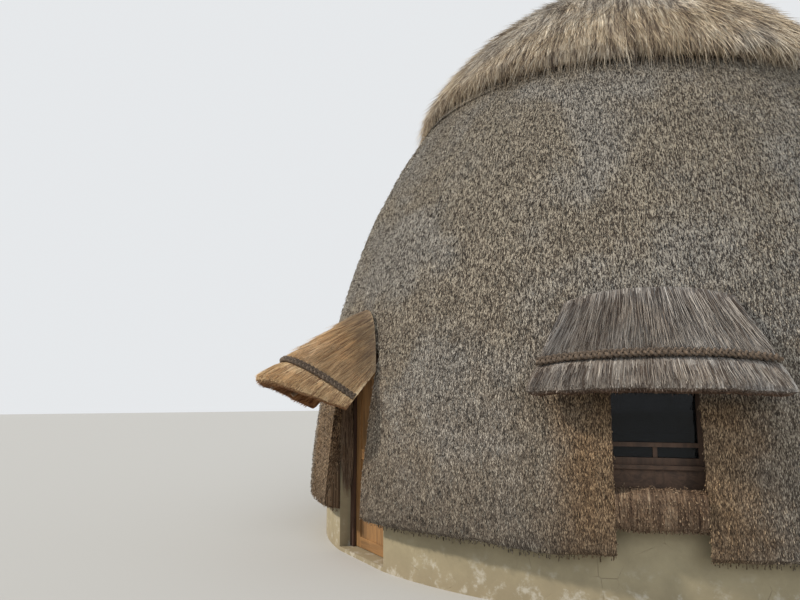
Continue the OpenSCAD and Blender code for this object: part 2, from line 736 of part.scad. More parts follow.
porch_rafters();
window_frame(1);  // window_frame_right
window_glass(1);  // window_glass_right
window_sill(1);  // window_sill_right
thatch_roll(1);  // thatch_roll_right
window_hood(1);  // window_hood_right
window_binding(1);  // window_binding_right
window_rafters(1);  // window_rafters_right
window_frame(-1);  // window_frame_left
window_glass(-1);  // window_glass_left
window_sill(-1);  // window_sill_left
thatch_roll(-1);  // thatch_roll_left
window_hood(-1);  // window_hood_left
window_binding(-1);  // window_binding_left
window_rafters(-1);  // window_rafters_left
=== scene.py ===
"""Dresses a beehive-shaped thatched hut: reed coat, loose crown cap, straw hoods, plaster and timber.

Every size is in metres in the hut's own frame: the door faces -Y, the dome's axis is Z and the
ground is at z = 0. An azimuth is counted from the door towards +X.
"""
import math

import bmesh
import bpy
import numpy as np
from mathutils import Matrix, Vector, noise


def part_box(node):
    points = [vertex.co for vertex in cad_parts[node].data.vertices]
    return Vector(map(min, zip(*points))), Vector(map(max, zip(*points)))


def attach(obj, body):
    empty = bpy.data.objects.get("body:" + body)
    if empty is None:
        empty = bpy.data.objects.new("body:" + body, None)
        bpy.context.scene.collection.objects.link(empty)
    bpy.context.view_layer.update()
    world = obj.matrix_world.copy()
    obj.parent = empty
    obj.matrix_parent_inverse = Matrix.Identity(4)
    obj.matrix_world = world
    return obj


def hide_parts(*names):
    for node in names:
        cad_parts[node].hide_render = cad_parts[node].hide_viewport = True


bl_info = {
    "name": "Thatched Beehive Hut",
    "version": (1, 0, 0),
    "blender": (4, 5, 0),
    "location": "View3D > Sidebar > Hut",
    "description": "Dresses a beehive-shaped thatched hut with reed, straw, plaster and timber",
    "category": "Object",
}

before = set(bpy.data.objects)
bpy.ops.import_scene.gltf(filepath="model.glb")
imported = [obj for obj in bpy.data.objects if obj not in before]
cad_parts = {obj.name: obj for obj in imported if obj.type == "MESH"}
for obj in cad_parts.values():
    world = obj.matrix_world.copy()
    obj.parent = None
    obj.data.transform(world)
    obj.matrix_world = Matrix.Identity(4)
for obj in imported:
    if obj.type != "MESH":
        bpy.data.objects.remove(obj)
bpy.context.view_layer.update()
SIDES = {"right": 1, "left": -1}
FULL_TURN = 2 * math.pi


# Properties: the sizes and colours that a user would change

def length(name, text, value):
    return bpy.props.FloatProperty(name=name, description=text, default=value, unit="LENGTH")


def angle(name, text, degrees):
    return bpy.props.FloatProperty(name=name, description=text, default=math.radians(degrees),
                                   subtype="ANGLE", unit="ROTATION")


def number(name, text, value, subtype="NONE"):
    return bpy.props.FloatProperty(name=name, description=text, default=value, subtype=subtype)


def fraction(name, text, value):
    return bpy.props.FloatProperty(name=name, description=text, default=value, min=0.0, max=1.0,
                                   subtype="FACTOR")


def colour(name, text, value):
    return bpy.props.FloatVectorProperty(name=name, description=text, default=value, size=3,
                                         min=0.0, max=1.0, subtype="COLOR")


class DomeShape(bpy.types.PropertyGroup):
    """The three arcs of the dome's outline and the openings in its lowest coat"""
    radius: length("Radius", "Outer radius of the thatch at ground level", 4.05)
    lower_arc: length("Lower arc", "Radius of the steep lower arc", 9.6)
    lower_end: angle("Lower arc end", "Slope angle at which the lower arc ends", 22.5)
    shoulder_arc: length("Shoulder arc", "Radius of the shoulder arc", 6.0)
    shoulder_end: angle("Shoulder end", "Slope angle at which the shoulder arc ends", 49)
    thickness: length("Thickness", "Thickness of the thatch above the wall", 0.22)
    skirt_z: length("Skirt height", "Height of the skirt's lower edge", 0.43)
    skirt_bevel: length("Skirt bevel", "Rounding of the skirt's lower outer edge", 0.07)
    wall_radius: length("Wall radius", "Radius of the ring wall's outer face", 3.83)
    wall_top: length("Wall top", "Height of the ring wall", 0.9)
    head: length("Heads", "Height of the heads of the door and windows", 2.01)
    cap_start: angle("Cap hem", "Slope angle of the dome at the cap's hem", 34)
    cap_thickness: length("Cap thickness", "Thickness of the loose cap at its hem", 0.14)
    cap_crown: length("Cap crown", "Thickness of the cap over the crown", 0.23)
    cap_swell: angle("Cap swell", "Slope angle over which the cap thickens", 15)
    cap_tilt: angle("Cap tilt", "How much lower the hem hangs on one side", 0.8)
    cap_sway: angle("Cap sway", "How far the hem rises and falls twice round the dome", 1.3)
    cap_low: angle("Cap low side", "Azimuth at which the hem hangs lowest", 70)
    door_gap: length("Door gap", "Width of the gap in the thatch at the doorway", 0.84)
    window_gap: length("Window gap", "Width of the gap in the thatch at a window", 0.62)
    window_azimuth: angle("Window azimuth", "Angle of each window from the door", 45)


HOOD_SIZES = {
    "top_half": (length, "Top half width", "Half the width at the top edge"),
    "top_z": (length, "Top height", "Height of the middle of the top edge"),
    "top_fall": (length, "Top fall", "Fall of the top edge to its ends"),
    "lip_half": (length, "Lip half width", "Half the width at the lip"),
    "lip_z": (length, "Lip height", "Height of the middle of the lip"),
    "lip_fall": (length, "Lip fall", "Fall of the lip to its ends"),
    "droop": (number, "Droop", "Power by which the edges droop to their ends"),
    "out": (length, "Stand-out", "How far the middle of the lip stands out from the dome"),
    "end_out": (length, "End stand-out", "How far the lip's ends stand out from the dome"),
    "binding": (fraction, "Binding", "Place of the rope binding as a share of the slope"),
}


def hood_sizes(**defaults):
    """Gives a property group the sizes of a hood, with these defaults"""
    def fill(group):
        group.__annotations__ = {key: kind(name, text, defaults[key])
                                 for key, (kind, name, text) in HOOD_SIZES.items()}
        return group
    return fill


@hood_sizes(top_half=0.47, top_z=2.47, top_fall=0.64, lip_half=0.52, lip_z=1.76, lip_fall=0.27,
            droop=2.2, out=0.99, end_out=0.28, binding=0.75)
class PorchShape(bpy.types.PropertyGroup):
    """The hood over the door"""


@hood_sizes(top_half=0.62, top_z=2.42, top_fall=0.09, lip_half=0.92, lip_z=1.66, lip_fall=0.03,
            droop=2.5, out=0.379, end_out=0.236, binding=0.69)
class EyelidShape(bpy.types.PropertyGroup):
    """The hood over a window"""


class StrawSizes(bpy.types.PropertyGroup):
    """How long, thick and dense the reeds and straws are"""
    reed_length: length("Reed length", "Length of one tuft of reed butts on the dome", 0.048)
    reed_width: length("Reed width", "Radius of one tuft of reed butts", 0.0046)
    reed_density: number("Reed density", "Tufts on each square metre of the dome", 1060.0)
    cap_length: length("Cap straw length", "Length of the loose straws of the cap", 0.3)
    cap_width: length("Cap straw width", "Radius of the loose straws of the cap", 0.0032)
    cap_density: number("Cap straw density", "Straws on each square metre of the cap", 1280.0)
    hood_length: length("Hood straw length", "Length of the combed straws of the hoods", 0.26)
    hood_width: length("Hood straw width", "Radius of the combed straws of the hoods", 0.0042)
    hood_density: number("Hood straw density", "Straws on each square metre of a hood", 5200.0)
    coat_step: length("Coat step", "Distance between the coat's mesh lines", 0.085)
    coat_lumps: length("Coat lumps", "Height of the uneven lumps of the coat", 0.014)
    pile: length("Pile", "How far the mesh lies below the outline, which the straw then reaches", 0.014)


class HutColours(bpy.types.PropertyGroup):
    """Base colours of the finishes"""
    reed_dark: colour("Reed, dark", "Shaded and wet reed", (0.07, 0.054, 0.041))
    reed_mid: colour("Reed, middle", "Weathered reed", (0.25, 0.2, 0.15))
    reed_light: colour("Reed, light", "Bleached reed butts", (0.62, 0.54, 0.42))
    cap_dark: colour("Cap, dark", "Old straw of the cap", (0.12, 0.085, 0.06))
    cap_mid: colour("Cap, middle", "Straw of the cap", (0.44, 0.345, 0.235))
    cap_light: colour("Cap, light", "Bleached straw of the cap", (0.9, 0.79, 0.61))
    porch_dark: colour("Porch, dark", "Old straw of the porch hood", (0.27, 0.15, 0.075))
    porch_mid: colour("Porch, middle", "Straw of the porch hood", (0.66, 0.44, 0.23))
    porch_light: colour("Porch, light", "Fresh straw of the porch hood", (0.93, 0.72, 0.44))
    eyelid_dark: colour("Window hood, dark", "Old straw of a window hood", (0.09, 0.065, 0.05))
    eyelid_mid: colour("Window hood, middle", "Grey straw of a window hood", (0.3, 0.255, 0.215))
    eyelid_light: colour("Window hood, light", "Bleached straw", (0.6, 0.54, 0.47))
    lining_dark: colour("Lining, dark", "Sheltered reed in shade", (0.075, 0.045, 0.028))
    lining_mid: colour("Lining, middle", "Sheltered reed of the rolls and linings", (0.24, 0.155, 0.095))
    lining_light: colour("Lining, light", "Rubbed butts of sheltered reed", (0.46, 0.34, 0.22))
    rope: colour("Rope", "Plaited grass rope", (0.12, 0.086, 0.06))
    plaster: colour("Plaster", "Rubbed earth plaster", (0.36, 0.305, 0.195))
    plaster_stain: colour("Plaster stain", "Damp and dust on the plaster", (0.27, 0.215, 0.14))
    lime: colour("Lime", "Pale bloom at the foot of the wall", (0.7, 0.67, 0.6))
    floor: colour("Floor", "Rubbed earth floor", (0.3, 0.23, 0.16))
    door_wood: colour("Door wood", "Oiled timber of the leaf", (0.34, 0.175, 0.06))
    frame_wood: colour("Frame wood", "Dark stained timber", (0.075, 0.036, 0.022))
    window_wood: colour("Window wood", "Weathered stained timber", (0.105, 0.058, 0.034))
    pole_wood: colour("Pole wood", "Barked saplings", (0.17, 0.11, 0.065))
    iron: colour("Iron", "Blackened iron", (0.03, 0.028, 0.026))
    # The glass colour is dark as painted shade of the dim room behind the windows.
    glass: colour("Glass", "Window glass", (0.07, 0.085, 0.1))
    ground: colour("Ground", "Floor of the studio", (0.5, 0.49, 0.47))


class StageSettings(bpy.types.PropertyGroup):
    """Camera and light"""
    camera_distance: length("Camera distance", "From the dome's axis to the camera", 9.17)
    camera_height: length("Camera height", "Eye height of the camera", 1.6)
    camera_azimuth: angle("Camera azimuth", "Camera's place round the dome, from the door", 42.4)
    camera_turn: angle("Camera turn", "How far the camera looks to the left of the dome's axis", 18.65)
    camera_pitch: angle("Camera pitch", "Upward tilt of the camera", 8.09)
    focal_pixels: number("Focal length", "In pixels of a picture 800 wide", 670.0, "PIXEL")
    key_energy: number("Key light", "Strength of the sun-like key light", 2.9)
    fill_strength: number("Fill light", "Strength of the surrounding light", 0.62)


class HutSettings(bpy.types.PropertyGroup):
    """All settings of the hut"""
    dome: bpy.props.PointerProperty(type=DomeShape)
    porch: bpy.props.PointerProperty(type=PorchShape)
    eyelid: bpy.props.PointerProperty(type=EyelidShape)
    straw: bpy.props.PointerProperty(type=StrawSizes)
    colours: bpy.props.PointerProperty(type=HutColours)
    stage: bpy.props.PointerProperty(type=StageSettings)


# Node trees

class Socket:
    """A value in a node tree that adds Math nodes when it is used in an expression"""

    def __init__(self, graph, link):
        self.graph, self.link = graph, link

    def math(self, operation, *values):
        return self.graph.node("ShaderNodeMath", {"operation": operation}, dict(enumerate(values)))[0]

    def __add__(self, other):
        return self.math("ADD", self, other)

    def __radd__(self, other):
        return self.math("ADD", other, self)

    def __sub__(self, other):
        return self.math("SUBTRACT", self, other)

    def __rsub__(self, other):
        return self.math("SUBTRACT", other, self)

    def __mul__(self, other):
        return self.math("MULTIPLY", self, other)

    def __rmul__(self, other):
        return self.math("MULTIPLY", other, self)

    def __abs__(self):
        return self.math("ABSOLUTE", self)

    def __or__(self, other):
        return self.math("MAXIMUM", self, other)

    def __ror__(self, other):
        return self.math("MAXIMUM", other, self)


class Outputs:
    """Outputs of a node, by name or by number"""

    def __init__(self, graph, node):
        self.graph, self.node = graph, node

    def __getitem__(self, key):
        return Socket(self.graph, self.node.outputs[key])


class Graph:
    """A node tree, with one method that adds every kind of node"""

    def __init__(self, tree):
        self.tree = tree

    def node(self, kind, settings=None, values=None):
        """Adds a node, sets its properties first and then its sockets; returns its outputs"""
        node = self.tree.nodes.new(kind)
        for name, value in (settings or {}).items():
            setattr(node, name, value)
        for name, value in (values or {}).items():
            self.put(node.inputs[name], value)
        return Outputs(self, node)

    def put(self, socket, value):
        """Links a value to a socket, or sets the socket to a number, vector or colour"""
        if isinstance(value, Socket):
            self.tree.links.new(value.link, socket)
        elif hasattr(value, "__len__") and not isinstance(value, str):
            missing = len(socket.default_value) - len(value)
            socket.default_value = (*value, *(1.0,) * missing)
        else:
            socket.default_value = value

    def vector(self, operation, *values):
        """Vector Math on one or two vectors, or on a vector and a number for SCALE"""
        inputs = zip((0, "Scale" if operation == "SCALE" else 1), values)
        return self.node("ShaderNodeVectorMath", {"operation": operation}, dict(inputs))["Vector"]

    def joined(self, **parts):
        return self.node("ShaderNodeCombineXYZ", {}, parts)[0]

    def parts(self, vector):
        out = self.node("ShaderNodeSeparateXYZ", {}, {"Vector": vector})
        return out["X"], out["Y"], out["Z"]


class Shader(Graph):
    """One material with a Principled surface"""

    def __init__(self, name):
        self.material = bpy.data.materials.new(name)
        self.material.use_nodes = True
        super().__init__(self.material.node_tree)
        self.place = self.node("ShaderNodeTexCoord")["Object"]

    def finish(self, tone, rough, relief=None, depth=0.0, others=None):
        """The material with this colour and roughness, a relief of a depth and other sockets"""
        values = {"Base Color": tone, "Roughness": rough, **(others or {})}
        if relief is not None:
            values["Normal"] = self.node("ShaderNodeBump", {}, {"Height": relief, "Distance": depth,
                                                                "Strength": 1.0})["Normal"]
        for name, value in values.items():
            self.put(self.tree.nodes["Principled BSDF"].inputs[name], value)
        return self.material

    def stretched(self, scale, at=None):
        """The place, or another vector, scaled differently along each axis"""
        return self.node("ShaderNodeMapping", {}, {"Vector": at or self.place, "Scale": scale})["Vector"]

    def noise(self, scale, detail=3.0, at=None, rough=0.55, warp=0.0):
        values = {"Vector": at or self.place, "Scale": scale, "Detail": detail,
                  "Roughness": rough, "Distortion": warp}
        return self.node("ShaderNodeTexNoise", {}, values)["Fac"]

    def cells(self, scale, at=None, feature="F1"):
        return self.node("ShaderNodeTexVoronoi", {"feature": feature},
                         {"Vector": at or self.place, "Scale": scale})

    def step(self, value, low, high):
        """Rises smoothly from 0 at low to 1 at high"""
        return self.node("ShaderNodeMapRange", {"interpolation_type": "SMOOTHSTEP"},
                         {"Value": value, "From Min": low, "From Max": high})["Result"]

    def blend(self, amount, one, other, mode="MIX"):
        return self.node("ShaderNodeMix", {"data_type": "RGBA", "blend_type": mode},
                         {"Factor": amount, 6: one, 7: other})[2]

    def layer(self, name, output="Fac"):
        """A layer of values on the mesh"""
        return self.node("ShaderNodeAttribute", {"attribute_name": name})[output]


def shade(colour, by):
    return [by * c for c in colour]


def dress(material, *nodes):
    """Gives CAD nodes a material"""
    for name in nodes:
        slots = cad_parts[name].material_slots
        if not slots:
            raise RuntimeError(f"{name} has no material slot")
        for slot in slots:
            slot.material = material


def cad_nodes(prefix):
    """Names of the CAD nodes that start with a prefix"""
    names = sorted(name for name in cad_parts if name.startswith(prefix))
    if not names:
        raise RuntimeError(f"no CAD node starts with {prefix}")
    return names


# The hut's shape

class Dome:
    """The dome's outline of three arcs, and places on its layers"""

    def __init__(self, shape):
        low = np.array([shape.radius - shape.lower_arc, 0.0])
        shoulder = low + (shape.lower_arc - shape.shoulder_arc) * self.turn(shape.lower_end)
        crown_arc = shape.shoulder_arc + shoulder[0] / math.cos(shape.shoulder_end)
        crown = shoulder + (shape.shoulder_arc - crown_arc) * self.turn(shape.shoulder_end)
        self.centres = np.array([low, shoulder, crown])
        self.radii = np.array([shape.lower_arc, shape.shoulder_arc, crown_arc])
        self.ends = (shape.lower_end, shape.shoulder_end)

    @staticmethod
    def turn(a):
        return np.stack([np.cos(a), np.sin(a)], -1)

    def section(self, a, out=0.0):
        """Radius and height of the outline at slope angle a, a distance out"""
        a = np.asarray(a, float)
        arc = np.select([a < self.ends[0], a < self.ends[1]], [0, 1], 2)
        return self.centres[arc] + (self.radii[arc] + out)[..., None] * self.turn(a)

    def slope_at(self, z, out=0.0):
        """Slope angle of the lower arc at a height"""
        return math.asin(z / (self.radii[0] + out))

    def length(self, a):
        """Length of the outline from the ground to slope angle a"""
        parts = [0.0, *self.ends, math.pi / 2]
        return sum(r * np.clip(np.asarray(a) - parts[i], 0, parts[i + 1] - parts[i])
                   for i, r in enumerate(self.radii))


def around(section, azimuth):
    """Points from [radius, height] rows and azimuths of the same shape"""
    r, z = section[..., 0], section[..., 1]
    return np.stack([r * np.sin(azimuth), -r * np.cos(azimuth), z * np.ones_like(azimuth)], -1)


def turned(vectors, azimuth):
    """Takes what faces the door's way to an azimuth"""
    c, s = math.cos(azimuth), math.sin(azimuth)
    return vectors @ np.array([[c, s, 0], [-s, c, 0], [0, 0, 1]])


def unit(vectors):
    return vectors / np.maximum(np.linalg.norm(vectors, axis=-1, keepdims=True), 1e-9)


def lumps(points, *waves):
    """Uneven height at each point: a sum of noise waves, each (wavelength, height)"""
    heights = [sum(h * noise.noise(Vector(p) / w) for w, h in waves) for p in points.reshape(-1, 3)]
    return np.array(heights).reshape(*points.shape[:-1], 1)


def mesh_object(name, points, faces, layers):
    """A closed mesh with its poles merged and its faces turned outward. A layer has a number or a
    vector for each point."""
    mesh = bpy.data.meshes.new(name)
    mesh.from_pydata(points.reshape(-1, 3).tolist(), [], faces)
    for key, values in layers.items():
        kind, field = ("FLOAT_VECTOR", "vector") if values.ndim == 3 else ("FLOAT", "value")
        layer = mesh.attributes.new(key, kind, "POINT")
        layer.data.foreach_set(field, np.ascontiguousarray(values, np.float32).ravel())
    shell = bmesh.new()
    shell.from_mesh(mesh)
    bmesh.ops.remove_doubles(shell, verts=shell.verts, dist=1e-5)
    bmesh.ops.delete(shell, geom=[edge for edge in shell.edges if edge.is_wire], context="EDGES")
    bmesh.ops.recalc_face_normals(shell, faces=shell.faces)
    shell.to_mesh(mesh)
    shell.free()
    mesh.shade_smooth()
    mesh.set_sharp_from_angle(angle=math.radians(55))
    obj = bpy.data.objects.new(name, mesh)
    bpy.context.scene.collection.objects.link(obj)
    return obj


def skin_faces(columns, ring, closed=False):
    """Faces of a skin over rings of points, with a cap on each end unless the rings close up"""
    last = columns if closed else columns - 1
    faces = [[j * ring + i, j * ring + (i + 1) % ring,
              (j + 1) % columns * ring + (i + 1) % ring, (j + 1) % columns * ring + i]
             for j in range(last) for i in range(ring)]
    if not closed:
        faces += [list(range(ring)), [(columns - 1) * ring + i for i in range(ring)]]
    return faces


def spaced(start, end, span, step):
    """Values from start to end, with steps no longer than step over a real length span"""
    return np.linspace(start, end, max(2, math.ceil(span / step) + 1))


class Coat:
    """A closed thatch shell over part of the dome, with the layers that straw is laid by"""
    TILT_RUN = 1.6

    def __init__(self, settings):
        self.dome, self.shape, self.straw = Dome(settings.dome), settings.dome, settings.straw

    def build(self, name, outer, inner, azimuths, closed=False, extra=(), hem_wave=0.0, depth=1.0,
              tilt=0.0, comb=0.0, hem_reach=1.0):
        """outer and inner are slope angles with distances out, as rows of [a, out]; azimuths has one
        row for each column and one value for each point of a ring; extra are [radius, height] rows
        between the inner and outer feet; depth scales the pile and the lumps; tilt moves each
        column's lowest rows down the slope; comb turns the flow aside; hem_reach shortens the hem"""
        outer, inner = np.asarray(outer), np.asarray(inner)[::-1]
        n, uneven = len(outer), self.straw.coat_lumps
        section = np.vstack([self.dome.section(outer[:, 0], outer[:, 1] - self.straw.pile * depth),
                             self.dome.section(*inner.T), np.reshape(extra, (-1, 2))])
        slope = np.concatenate([outer[:, 0], inner[:, 0], np.full(len(extra), outer[0, 0])])
        beside_pole = (section[:, 0] > 1e-6)[:, None]
        points = around(section, azimuths)
        facing = np.stack([np.sin(azimuths), -np.cos(azimuths)], -1)
        cos, sin = np.cos(slope)[:, None], np.sin(slope)[:, None]
        plain = np.ones((*azimuths.shape, 1))
        out = np.concatenate([cos * facing, sin * plain], -1)
        down = np.concatenate([sin * facing, -cos * plain], -1)

        points[:, :n] += out[:, :n] * depth * lumps(
            points[:, :n], (1.3, uneven), (0.42, uneven * 0.7), (0.15, uneven * 0.4))
        hem = down[:, :1] * lumps(points[:, :1] * [1, 1, 0], (0.9, hem_wave), (0.3, hem_wave * 0.5))
        points[:, :1] += hem
        if len(extra):
            points[:, -1:] += hem
        above_hem = (slope - slope[0]) * self.shape.shoulder_arc
        slide = np.clip(1.0 - above_hem / self.TILT_RUN, 0.0, 1.0) ** 1.5
        points += down * (slide * np.reshape(tilt, (-1, 1)))[..., None]

        cover = np.zeros(azimuths.shape)
        cover[:, :n] = 1.0
        flow = down.copy()
        flow[:, 1:n - 1] = unit(points[:, :n - 2] - points[:, 2:n])
        flow[:, 0] = unit(flow[:, 1] + unit(points[:, 0] - points[:, 1]))
        flow += np.cross(out, down) * lumps(points, (0.6, comb), (0.2, comb))
        reach = np.ones(azimuths.shape)
        reach[:, 0], reach[:, 1] = hem_reach, 0.5 + 0.5 * hem_reach
        lay = np.concatenate([3.0 * facing * beside_pole, self.dome.length(slope)[:, None] * plain], -1)
        return mesh_object(name, points, skin_faces(len(azimuths), len(section), closed),
                           {"cover": cover, "flow": flow * beside_pole, "lay": lay, "reach": reach})


# Straw laid over a mesh

def blade(graph, root, tip):
    """A three-sided blade from z = 0 to 1, with its radii at the root and at the tip"""
    return graph.node("GeometryNodeMeshCone", {"fill_type": "NGON"},
                      {"Vertices": 3, "Side Segments": 1, "Radius Bottom": root, "Radius Top": tip,
                       "Depth": 1.0})["Mesh"]


def cut_reed(graph):
    """A tuft of reed: a point buried up the slope that widens to a cut butt"""
    return blade(graph, 0.0, 1.0)


def long_straw(graph):
    """A straw that thins to its tip"""
    return blade(graph, 1.0, 0.0)


STRAW_INPUTS = {
    "Density": ("NodeSocketFloat", "Straws on each square metre where the cover is 1"),
    "Length": ("NodeSocketFloat", "Length of a straw where the reach is 1"),
    "Width": ("NodeSocketFloat", "Radius of a straw"),
    "Lift": ("NodeSocketFloat", "How far the straws stand away from the surface"),
    "Spread": ("NodeSocketFloat", "How far the straws turn at random"),
    "Sink": ("NodeSocketFloat", "How deep the straws are rooted at most"),
    "Seed": ("NodeSocketInt", "Seed of everything random"),
    "Finish": ("NodeSocketMaterial", "Material of the mesh and its straw"),
}


def straw_tree(name, shape):
    """A tree that scatters straws over a mesh by its layers: cover, flow and reach"""
    tree = bpy.data.node_groups.new(name, "GeometryNodeTree")
    for way in ("OUTPUT", "INPUT"):
        tree.interface.new_socket("Geometry", in_out=way, socket_type="NodeSocketGeometry")
    for label, (kind, text) in STRAW_INPUTS.items():
        tree.interface.new_socket(label, in_out="INPUT", socket_type=kind, description=text)
    graph = Graph(tree)
    given = graph.node("NodeGroupInput")

    def layer(label, kind="FLOAT"):
        return graph.node("GeometryNodeInputNamedAttribute", {"data_type": kind}, {"Name": label})[0]

    def chance(low, high, seed):
        return graph.node("FunctionNodeRandomValue", {"data_type": "FLOAT"},
                          {2: low, 3: high, "Seed": given["Seed"] + seed})[1]

    def store(geometry, label, value):
        return graph.node("GeometryNodeStoreNamedAttribute", {"data_type": "FLOAT", "domain": "POINT"},
                          {"Geometry": geometry, "Name": label, "Value": value})[0]

    spots = graph.node("GeometryNodeDistributePointsOnFaces", {"distribute_method": "RANDOM"},
                       {"Mesh": given["Geometry"], "Seed": given["Seed"],
                        "Density": given["Density"] * layer("cover")})
    normal = spots["Normal"]
    toned = store(spots["Points"], "tone", chance(0.05, 1.0, 1))
    sunk = graph.vector("SCALE", normal, given["Sink"] * chance(-1.0, 0.25, 2))
    rooted = graph.node("GeometryNodeSetPosition", {}, {"Geometry": toned, "Offset": sunk})[0]
    raised = graph.vector("SCALE", normal, given["Lift"] * chance(0.3, 1.5, 3))
    any_way = graph.node("FunctionNodeRandomValue", {"data_type": "FLOAT_VECTOR"},
                         {"Min": (-1, -1, -1), "Max": (1, 1, 1), "Seed": given["Seed"] + 4})[0]
    turn = graph.vector("SCALE", any_way, given["Spread"])
    heading = graph.vector("ADD", graph.vector("ADD", layer("flow", "FLOAT_VECTOR"), raised), turn)
    stance = graph.node("FunctionNodeAxesToRotation", {"primary_axis": "Z", "secondary_axis": "X"},
                        {"Primary Axis": heading, "Secondary Axis": normal})[0]
    wide = given["Width"] * chance(0.65, 1.35, 5)
    tall = given["Length"] * layer("reach") * chance(0.6, 1.25, 6)
    height = graph.parts(graph.node("GeometryNodeInputPosition")[0])[2]
    laid = graph.node("GeometryNodeInstanceOnPoints", {},
                      {"Points": rooted, "Instance": store(shape(graph), "along", height),
                       "Rotation": stance, "Scale": graph.joined(X=wide, Y=wide, Z=tall)})[0]
    both = graph.node("GeometryNodeJoinGeometry")
    for part in (given["Geometry"], laid):
        tree.links.new(part.link, both.node.inputs[0])
    real = graph.node("GeometryNodeRealizeInstances", {}, {"Geometry": both[0]})
    done = graph.node("GeometryNodeSetMaterial", {}, {"Geometry": real[0], "Material": given["Finish"]})
    graph.node("NodeGroupOutput", {}, {"Geometry": done[0]})
    return tree


def place(obj, slot, *replaced):
    """Ties a finished piece to the hut and hides the CAD nodes it stands for; slot is not used"""
    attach(obj, "hut")
    if replaced:
        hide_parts(*replaced)


def thatch(obj, shape, finish, slot, *replaced, **inputs):
    """Covers a mesh with straw, keeps the result as the object's mesh and places it"""
    name = shape.__name__
    tree = bpy.data.node_groups.get(name) or straw_tree(name, shape)
    modifier = obj.modifiers.new("straw", "NODES")
    modifier.node_group = tree
    inputs["finish"] = finish
    for socket in tree.interface.items_tree:
        key = socket.name.lower()
        if socket.in_out == "INPUT" and key in inputs:
            modifier[socket.identifier] = inputs[key]
    graph = bpy.context.evaluated_depsgraph_get()
    mesh, plain = bpy.data.meshes.new_from_object(obj.evaluated_get(graph)), obj.data
    obj.modifiers.clear()
    obj.data = mesh
    bpy.data.meshes.remove(plain)
    mesh.name = obj.name
    place(obj, slot, *replaced)


# Finishes

class StrawShader(Shader):
    """Straw by the layers of its mesh: tone is 0 on the mesh and differs from blade to blade, and
    along runs from 0 at a blade's root to 1 at its tip"""

    def __init__(self, name):
        super().__init__(name)
        self.lay = self.layer("lay", "Vector")
        self.each, self.along = self.layer("tone"), self.layer("along")
        self.run = self.parts(self.lay)[2]
        self.is_straw = self.step(self.each, 0.01, 0.04)
        self.patches = self.noise(1.1, 4.0, warp=0.6)
        self.spots = self.noise(5.5, 3.0)
        self.x, self.y, self.height = self.parts(self.place)

    def stubble(self, length):
        """Relief and tone of cut reed, in tufts of a length, more marked high on the dome, with painted
        shade in the gaps between the butts
        """
        heading = self.vector("NORMALIZE", self.vector("MULTIPLY", self.place, (1.0, 1.0, 0.0)))
        coat = self.vector("ADD", self.vector("SCALE", heading, 4.0),
                           self.joined(Z=self.run - self.along * length))
        butts = self.cells(1.0, self.stretched((225.0, 225.0, 54.0), coat))
        tufts = self.noise(1.0, 3.0, self.stretched((72.0, 72.0, 20.0), coat), 0.7)
        upper = self.step(self.height + self.patches * 1.5, 1.6, 4.2)
        # Each butt takes a random tone; the gaps between the butts are darkened as painted shade.
        butt_tone_and_gap_shade = self.parts(butts["Color"])[0] * 0.8 - self.step(butts["Distance"], 0.3, 0.8) * 0.4 \
            + self.step(tufts, 0.38, 0.62) * (0.25 + upper * 0.5)
        relief = butt_tone_and_gap_shade * (0.92 + upper * 0.75)
        blades = self.is_straw * (self.each * 0.35 + self.along * 0.1 - 0.15)
        return relief, relief + blades + 0.05 - upper * 0.52

    def combed(self, locked):
        """Relief and tone of long straw, in locks that differ as much as locked says"""
        fibre = self.noise(1.0, 4.0, self.stretched((48.0, 48.0, 3.6), self.lay), 0.75)
        locks = self.noise(1.0, 3.0, self.stretched((11.0, 11.0, 1.5), self.lay), 0.6)
        under = self.step(fibre, 0.34, 0.66) * 0.7 + self.step(locks, 0.36, 0.64) * 0.3 - 0.1
        blades = self.each * 0.8 + self.along * 0.3 + self.step(locks, 0.3, 0.7) * locked \
            - 0.17 - 0.5 * locked
        return under * (1.0 - self.is_straw), under + (blades - under) * self.is_straw

    def sheltered(self, azimuth, half):
        """1 below a shelter at an azimuth, as far as half to each side: there the reed has stayed browner
        and painted shade darkens it
        """
        aside = abs(self.x * math.cos(azimuth) + self.y * math.sin(azimuth))
        ahead = self.x * math.sin(azimuth) - self.y * math.cos(azimuth)
        return (1.0 - self.step(aside + self.spots * 0.3, half, half + 0.45)) \
            * self.step(ahead, 2.5, 2.7) * (1.0 - self.step(self.height + self.patches * 0.9, 1.9, 2.4))


